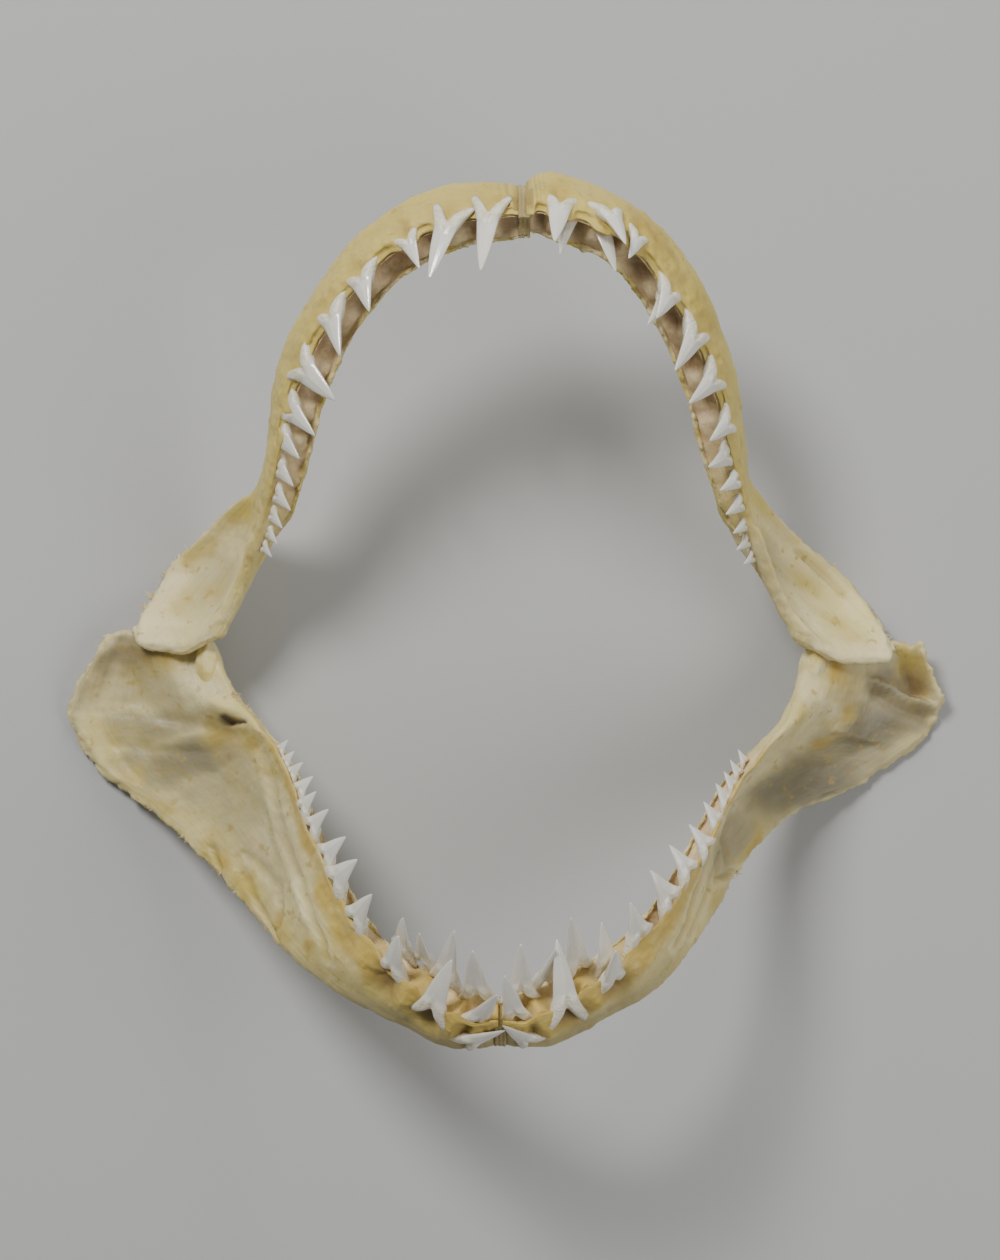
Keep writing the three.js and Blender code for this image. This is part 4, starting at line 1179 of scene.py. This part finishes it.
def tooth_places(jaw):
    """Foot, turn and size of every tooth, and which mould it takes."""
    vary = seeded_spread(len(jaw.name) * 977 + (5 if jaw.side > 0 else 0))
    rows = []
    for at, behind, below, length, width, over, away in jaw.teeth:
        s = jaw.place_of(at)
        crest, down, inwards, back, _ = (v[0] for v in jaw.frame_at(s))
        long, wide = length * (1 + 0.02 * vary()), width * (1 + 0.03 * vary())
        tilt, lean = math.radians(over + 1.5 * vary()), math.radians(away + 1.5 * vary())
        lingual = unit(np.cross(back, jaw.bite)) * -jaw.turn
        upright = jaw.bite * math.cos(tilt) + lingual * math.sin(tilt)
        tip = unit(upright * math.cos(lean) + back * math.sin(lean))
        side = unit(back - tip * back.dot(tip))
        face_in = np.cross(tip, side)
        if face_in.dot(lingual) < 0:
            side, face_in = -side, -face_in
        thick = along(jaw.form["thick"], np.array([s]))[0]
        foot = crest + inwards * (ROOT_DEPTH * thick + behind - TOOTH_LIFT) + down * (0.4 + below)
        foot = foot - tip * (CROWN_FOOT * long)
        turn = Matrix((side, face_in, tip)).transposed().to_euler()
        kind = 0 if length >= SLENDER_FROM else 1 if length >= BROAD_FROM else 2
        rows.append((placed(foot), tuple(turn), (wide * MM, wide * MM, long * MM), kind))
    return rows


class Growth(Tree):
    """A Geometry Nodes tree that sets a shape on every point of what it is given."""

    def __init__(self, name, inputs):
        super().__init__(bpy.data.node_groups.new(name, "GeometryNodeTree"))
        new_socket = self.tree.interface.new_socket
        new_socket("Geometry", in_out="INPUT", socket_type="NodeSocketGeometry")
        for label, kind, value in inputs:
            new_socket(label, in_out="INPUT", socket_type=kind).default_value = value
        new_socket("Geometry", in_out="OUTPUT", socket_type="NodeSocketGeometry")
        self.given = self.add("NodeGroupInput").outputs

    def named(self, name, kind):
        """The value of that name which each point carries."""
        node = self.add("GeometryNodeInputNamedAttribute", data_type=kind)
        node.inputs["Name"].default_value = name
        return node.outputs["Attribute"]

    def scaled(self, vector, factor):
        node = self.add("ShaderNodeVectorMath", operation="SCALE")
        self.link(vector, node.inputs[0])
        self.link(factor, node.inputs["Scale"])
        return node.outputs["Vector"]

    def random_vector(self, low, high, seed_shift):
        shift = self.add("ShaderNodeMath")
        self.link(self.given["Seed"], shift.inputs[0])
        shift.inputs[1].default_value = seed_shift
        node = self.add("FunctionNodeRandomValue", data_type="FLOAT_VECTOR")
        node.inputs[0].default_value, node.inputs[1].default_value = low, high
        self.link(shift.outputs[0], node.inputs["Seed"])
        return node.outputs[0]

    def set_on_points(self, shape, turn, size, material, pick=None):
        """Puts the shape, or the one that pick names of several, on every point and ends the tree."""
        on_points = self.add("GeometryNodeInstanceOnPoints")
        if pick is not None:
            on_points.inputs["Pick Instance"].default_value = True
            self.link(pick, on_points.inputs["Instance Index"])
        for source, name in ((self.given["Geometry"], "Points"), (shape, "Instance"), (turn, "Rotation"),
                             (size, "Scale")):
            self.link(source, on_points.inputs[name])
        real, paint = self.add("GeometryNodeRealizeInstances"), self.add("GeometryNodeSetMaterial")
        paint.inputs["Material"].default_value = material
        self.link(on_points.outputs["Instances"], real.inputs["Geometry"])
        self.link(real.outputs["Geometry"], paint.inputs["Geometry"])
        self.link(paint.outputs["Geometry"], self.add("NodeGroupOutput").inputs["Geometry"])
        return self.tree


def teeth_tree(moulds, material):
    """Geometry Nodes: one tooth on every point, turned and sized by the point's own values."""
    g = Growth("set_teeth", [("Tooth size", "NodeSocketFloat", 1.0)])
    bag = g.add("GeometryNodeCollectionInfo")
    bag.inputs["Collection"].default_value = moulds
    bag.inputs["Separate Children"].default_value = True
    bag.inputs["Reset Children"].default_value = True
    turn = g.add("FunctionNodeEulerToRotation")
    g.link(g.named("tooth_turn", "FLOAT_VECTOR"), turn.inputs["Euler"])
    size = g.scaled(g.named("tooth_scale", "FLOAT_VECTOR"), g.given["Tooth size"])
    return g.set_on_points(bag.outputs["Instances"], turn.outputs["Rotation"], size, material,
                           g.named("tooth_kind", "INT"))


def grown_piece(name, source, tree, settings):
    """Runs a node tree on the source, keeps the result as a plain mesh piece and removes the source."""
    modifier = source.modifiers.new("grow", "NODES")
    modifier.node_group = tree
    for item in tree.interface.items_tree:
        if getattr(item, "in_out", "") == "INPUT" and item.name in settings:
            modifier[item.identifier] = settings[item.name]
    bpy.context.view_layer.update()
    depsgraph = bpy.context.evaluated_depsgraph_get()
    mesh = bpy.data.meshes.new_from_object(source.evaluated_get(depsgraph), preserve_all_data_layers=True,
                                           depsgraph=depsgraph)
    bpy.data.objects.remove(source)
    mesh.name = name
    mesh.polygons.foreach_set("use_smooth", [True] * len(mesh.polygons))
    piece = bpy.data.objects.new(name, mesh)
    bpy.context.scene.collection.objects.link(piece)
    return piece


LOWEST_FIBRE = 0.0006


def lay_on_floor(mesh):
    """Bends up whatever would reach below the floor, so that it flattens out just above it."""
    places = point_places(mesh)
    low = places[:, 2] < LOWEST_FIBRE
    places[low, 2] = LOWEST_FIBRE * np.exp(np.maximum(places[low, 2] - LOWEST_FIBRE, -0.01) / 0.004)
    mesh.vertices.foreach_set("co", places.ravel())
    mesh.update()


def clear_moulds(folder):
    for mould in list(folder.objects):
        bpy.data.objects.remove(mould)
    bpy.data.collections.remove(folder)


def folder_of(name, objects):
    folder = bpy.data.collections.new(name)
    bpy.context.scene.collection.children.link(folder)
    for thing in objects:
        bpy.context.scene.collection.objects.unlink(thing)
        folder.objects.link(thing)
    return folder


# Dried ligament and torn edges.

BAND_RINGS = 13
# How far, in metres, the joint tissue is moved outwards and down into the lower cartilage.
JOINT_SHIFT = 0.002


def symphysis_piece(name, jaw):
    """The band of tissue that joins the two cartilages of one jaw, a little narrower than their section and
    rippled along its width.
    """
    s = np.array([jaw.start()])
    crest, down, inwards, _, height = jaw.frame_at(s)
    outline = rounded(section(jaw.form, height, s))[0]
    middle = outline.mean(axis=0)
    rings = []
    for x in np.linspace(-1, 1, BAND_RINGS):
        shape = middle + (outline - middle) * (0.95 + 0.02 * math.cos(9 * x))
        ring = crest[0] + down[0] * shape[:, :1] + inwards[0] * shape[:, 1:]
        ring[:, 0] = jaw.symphysis_x + x * 0.5 * LIGAMENT_WIDTH
        rings.append(ring)
    points = np.array(rings)
    count = points.shape[1]
    flat = points.reshape(-1, 3)
    rough = (waves(flat, 0.7, 3, 40 + len(name)) * 0.35)[:, None] * np.array([0, 1, 1])
    piece = mesh_piece(name, placed(flat + surface_normals(points) * rough), tube_faces(BAND_RINGS, count))
    piece.data.materials.append(shared_material("dry_sinew", sinew_material))
    ring, step = np.divmod(np.arange(len(flat)), count)
    add_lie(piece.data, np.stack([ring * 0.0003, step / count * 0.05], axis=1))
    close_and_turn_out(piece.data)
    return piece


def joint_piece(name, side):
    """Dried capsule tissue at the inner side of a jaw joint: a strap of strands, sunk into the cartilage."""
    low, high = (np.array(c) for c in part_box(name))
    centre, half = 0.5 * (low + high), 0.5 * (high - low)
    rows, count = 72, 96
    t, a = np.meshgrid(np.linspace(0, 1, rows + 1), 2 * np.pi * np.arange(count) / count, indexing="ij")
    lie = 2 * t - 1
    cap = np.clip(1 - np.abs(lie) ** 1.8, 0, 1) ** 0.9
    waist = 0.92 + 0.1 * lie ** 2
    strands = 0.018 * np.sin(7 * a + 3 * np.sin(2 * lie)) + 0.01 * np.sin(23 * a - 4 * lie)
    strands = 1 + strands * (0.4 + 0.6 * cap)
    points = np.stack([
        centre[0] + half[0] * (waist * cap * strands * np.cos(a) + 0.18 * side * lie),
        centre[1] + half[1] * lie * (1 + 0.04 * np.sin(5 * a)),
        centre[2] + half[2] * (waist * cap * strands * np.sin(a) + 0.12 * lie),
    ], axis=-1).reshape(-1, 3)
    rough = (waves(points, 420, 4, 60 + side) * 0.04)[:, None]
    points += (points - centre) * rough + [side * JOINT_SHIFT, 0, -JOINT_SHIFT]
    piece = mesh_piece(name + "_tissue", points, tube_faces(rows + 1, count, capped=False))
    close_and_turn_out(piece.data, weld=1e-6)
    add_lie(piece.data, point_places(piece.data)[:, [1, 0]])
    piece.data.materials.append(shared_material("joint_tissue", joint_material))
    return piece


FRAY_SEED, FRAY_SPREAD = 7, 0.75
TUFT_SEED, TUFT = 77, 8

# Frayed stretches: cartilage, from and to along it, depth down the section, how thick they are and how long.
FRAYED = [
    ("upper_jaw_left", 0.345, 0.365, 0.92, 2.0, 1.0), ("upper_jaw_left", 0.84, 0.96, 1.0, 1.6, 1.1),
    ("upper_jaw_left", 0.6, 0.64, 0.95, 0.6, 0.7), ("upper_jaw_left", 0.8, 0.86, 1.0, 0.5, 0.6),
    ("upper_jaw_right", 0.46, 0.5, 0.95, 1.0, 0.7), ("upper_jaw_right", 0.735, 0.75, 1.0, 2.0, 1.2),
    ("upper_jaw_right", 0.86, 0.985, 1.0, 2.2, 0.9), ("upper_jaw_right", 0.56, 0.58, 0.95, 0.8, 0.7),
    ("lower_jaw_left", 0.66, 0.76, 1.0, 1.2, 0.6), ("lower_jaw_left", 0.55, 0.62, 1.0, 1.2, 0.7),
    ("lower_jaw_left", 0.32, 0.36, 1.0, 0.6, 0.5), ("lower_jaw_left", 0.8, 0.9, 0.02, 1.6, 0.8),
    ("lower_jaw_right", 0.5, 0.58, 1.0, 1.2, 0.8), ("lower_jaw_right", 0.36, 0.44, 1.0, 0.6, 0.5),
    ("lower_jaw_right", 0.84, 0.92, 0.02, 0.8, 0.6),
]


def strand_mould():
    """A thin tapered shred, one unit long."""
    rings, sides = 5, 5
    points = []
    for r in range(rings):
        t = r / (rings - 1)
        radius = 0.17 * (1 - t) ** 0.7 + 0.015
        for i in range(sides):
            a = 2 * math.pi * i / sides
            points.append((radius * math.cos(a) + 0.3 * t * t, 0.5 * radius * math.sin(a), t))
    faces = tube_faces(rings, sides)
    faces[-2] = tuple(reversed(faces[-2]))
    return mesh_piece("strand", points, faces)


def fray_tree(mould, material):
    """Geometry Nodes: a shred on every point, leaning out by the point's own direction."""
    g = Growth("fray_edges", [("Length", "NodeSocketFloat", 0.004), ("Spread", "NodeSocketFloat", 0.7),
                              ("Seed", "NodeSocketInt", FRAY_SEED)])
    lean = g.add("ShaderNodeVectorMath")
    g.link(g.named("outward", "FLOAT_VECTOR"), lean.inputs[0])
    g.link(g.scaled(g.random_vector((-1, -1, -1), (1, 1, 1), 1), g.given["Spread"]), lean.inputs[1])
    aim = g.add("FunctionNodeAlignRotationToVector", axis="Z")
    g.link(lean.outputs[0], aim.inputs["Vector"])
    reach = g.add("ShaderNodeMath", operation="MULTIPLY")
    g.link(g.given["Length"], reach.inputs[0])
    g.link(g.named("reach", "FLOAT"), reach.inputs[1])
    size = g.scaled(g.random_vector((0.5, 0.5, 0.4), (1.2, 1.2, 1.6), 2), reach.outputs[0])
    shred = g.add("GeometryNodeObjectInfo")
    shred.inputs["Object"].default_value = mould
    return g.set_on_points(shred.outputs["Geometry"], aim.outputs["Rotation"], size, material)


def frayed_points():
    """Roots of the shreds along the torn edges, with the way each leans and its relative length."""
    draw = seeded_spread(TUFT_SEED)
    roots, leans, reaches = [], [], []
    for name, start, finish, deep, thickly, reach in FRAYED:
        jaw = JAWS[name]
        stretch = (finish - start) * jaw.travelled[-1]
        middle = start
        for number in range(max(TUFT, int(stretch / 10 * sizes().fibre_count * thickly))):
            if number % TUFT == 0:
                middle = start + (finish - start) * (0.5 + 0.5 * draw())
            s = middle + 0.004 * draw()
            crest, down, inwards, back, height = (v[0] for v in jaw.frame_at(s))
            thick = along(jaw.form["thick"], np.array([s]))[0]
            inset = thick * (0.25 + 0.2 * draw())
            outwards, sunk = (down, -0.7) if deep > 0.5 else (-down, 0.4)
            roots.append(placed(crest + down * (deep * height + sunk) + inwards * inset))
            leans.append(tuple(unit(outwards + 0.3 * back * draw() - 0.15 * inwards)))
            reaches.append(reach * (0.7 + 0.3 * draw()))
    return np.array(roots), leans, reaches


# The stage, in metres. The camera looks straight down: at SHARP_HEIGHT above the floor the picture is
# FRAME_HEIGHT tall.
CAMERA_DISTANCE = 1.2
SHARP_HEIGHT = 0.0432
FRAME_HEIGHT = 0.378
CAMERA_X, CAMERA_Y = -0.001336, -0.005014
SENSOR_HEIGHT = 24.0
FLOOR_HALF, FLOOR_Z = 4.0, -0.0003
ROOM_COLOUR, ROOM_STRENGTH = (0.97, 0.98, 1.0), 0.18
# Each light: name, place, width and power in watts. All look at LIT_PLACE.
LIGHTS = (
    ("key", (-0.6, 0.85, 1.25), 0.5, 22),
    ("fill", (1.1, -0.3, 1.0), 1.0, 9),
    ("back", (0.35, 1.3, 0.6), 0.6, 6),
)
LIT_PLACE = (0, 0, 0.03)


def soft_light(name, place, size, power):
    light = bpy.data.lights.new(name, "AREA")
    light.shape = "DISK"
    light.size = size
    light.energy = power
    lamp = bpy.data.objects.new(name, light)
    lamp.location = place
    lamp.rotation_euler = (Vector(LIT_PLACE) - Vector(place)).to_track_quat("-Z", "Y").to_euler()
    bpy.context.scene.collection.objects.link(lamp)


# The add-on's operators.

class JAW_OT_cartilages(bpy.types.Operator):
    """Sweep the four cartilages"""

    bl_idname = "jaw.cartilages"
    bl_label = "Cartilages"

    def execute(self, context):
        for jaw in JAWS.values():
            cartilage_piece(jaw)
        return {"FINISHED"}


class JAW_OT_teeth(bpy.types.Operator):
    """Set the teeth in each cartilage"""

    bl_idname = "jaw.teeth"
    bl_label = "Teeth"

    def execute(self, context):
        moulds = folder_of("tooth_moulds", [tooth_mould(name, *shape) for name, shape in TOOTH_KINDS.items()])
        tree = teeth_tree(moulds, shared_material("tooth", tooth_material))
        for jaw in JAWS.values():
            places, turns, scales, kinds = zip(*tooth_places(jaw))
            source = mesh_piece("tooth_points", places, [])
            add_values(source.data, "tooth_turn", turns, "FLOAT_VECTOR")
            add_values(source.data, "tooth_scale", scales, "FLOAT_VECTOR")
            add_values(source.data, "tooth_kind", kinds, "INT")
            name = jaw.name.replace("jaw", "teeth")
            piece = grown_piece(name, source, tree, {"Tooth size": sizes().tooth_size})
            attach(piece, "root")
        clear_moulds(moulds)
        return {"FINISHED"}


class JAW_OT_ligaments(bpy.types.Operator):
    """Make the bands at the midlines and the tissue at the joints"""

    bl_idname = "jaw.ligaments"
    bl_label = "Ligaments"

    def execute(self, context):
        for node, jaw in (("upper_symphysis", "upper_jaw_left"), ("lower_symphysis", "lower_jaw_left")):
            piece = symphysis_piece(node + "_band", JAWS[jaw])
            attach(piece, "root")
            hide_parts(node)
        for node, side in (("jaw_joint_left", -1), ("jaw_joint_right", 1)):
            piece = joint_piece(node, side)
            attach(piece, "root")
            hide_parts(node)
        return {"FINISHED"}


class JAW_OT_fibres(bpy.types.Operator):
    """Fray the torn edges"""

    bl_idname = "jaw.fibres"
    bl_label = "Frayed edges"

    def execute(self, context):
        mould = strand_mould()
        tree = fray_tree(mould, shared_material("torn_fibre", fibre_material))
        roots, leans, reaches = frayed_points()
        source = mesh_piece("fray_points", roots, [])
        add_values(source.data, "outward", leans, "FLOAT_VECTOR")
        add_values(source.data, "reach", reaches)
        piece = grown_piece("torn_fibres", source, tree, {
            "Length": sizes().fibre_length, "Spread": FRAY_SPREAD, "Seed": FRAY_SEED})
        bpy.data.objects.remove(mould)
        lay_on_floor(piece.data)
        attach(piece, "root")
        return {"FINISHED"}


class JAW_OT_stage(bpy.types.Operator):
    """Lay the floor, hang the lights and place the camera"""

    bl_idname = "jaw.stage"
    bl_label = "Stage"

    def execute(self, context):
        corners = [(x * FLOOR_HALF, y * FLOOR_HALF, FLOOR_Z) for x, y in ((-1, -1), (1, -1), (1, 1), (-1, 1))]
        floor = mesh_piece("floor", corners, [(0, 1, 2, 3)])
        floor.data.materials.append(shared_material("pale_floor", floor_material))
        for light in LIGHTS:
            soft_light(*light)
        world = bpy.data.worlds.new("room")
        world.use_nodes = True
        world.node_tree.nodes["Background"].inputs["Color"].default_value = (*ROOM_COLOUR, 1)
        world.node_tree.nodes["Background"].inputs["Strength"].default_value = ROOM_STRENGTH
        bpy.context.scene.world = world
        lens = bpy.data.cameras.new("camera")
        lens.sensor_fit = "VERTICAL"
        lens.sensor_height = SENSOR_HEIGHT
        lens.lens = SENSOR_HEIGHT * CAMERA_DISTANCE / FRAME_HEIGHT
        camera = bpy.data.objects.new("camera", lens)
        camera.location = (CAMERA_X, CAMERA_Y, CAMERA_DISTANCE + SHARP_HEIGHT)
        bpy.context.scene.collection.objects.link(camera)
        bpy.context.scene.camera = camera
        return {"FINISHED"}


class JAW_PT_panel(bpy.types.Panel):
    """The jaw's pieces, in the order they are made"""

    bl_idname = "JAW_PT_panel"
    bl_label = "Dried mako jaw"
    bl_space_type = "VIEW_3D"
    bl_region_type = "UI"
    bl_category = "Jaw"

    def draw(self, context):
        for operator in OPERATORS:
            self.layout.operator(operator.bl_idname)
        for group in (context.scene.jaw_sizes, context.scene.jaw_colours):
            for name in group.__annotations__:
                self.layout.prop(group, name)


OPERATORS = (JAW_OT_cartilages, JAW_OT_teeth, JAW_OT_ligaments, JAW_OT_fibres, JAW_OT_stage)
CLASSES = (JawSizes, JawColours, *OPERATORS, JAW_PT_panel)


def register():
    for cls in CLASSES:
        bpy.utils.register_class(cls)
    bpy.types.Scene.jaw_sizes = bpy.props.PointerProperty(type=JawSizes)
    bpy.types.Scene.jaw_colours = bpy.props.PointerProperty(type=JawColours)


def unregister():
    del bpy.types.Scene.jaw_colours
    del bpy.types.Scene.jaw_sizes
    for cls in reversed(CLASSES):
        bpy.utils.unregister_class(cls)


def main():
    register()
    bpy.ops.jaw.cartilages()
    bpy.ops.jaw.teeth()
    bpy.ops.jaw.ligaments()
    bpy.ops.jaw.fibres()
    bpy.ops.jaw.stage()
    bpy.context.view_layer.update()


if __name__ == "__main__":
    main()
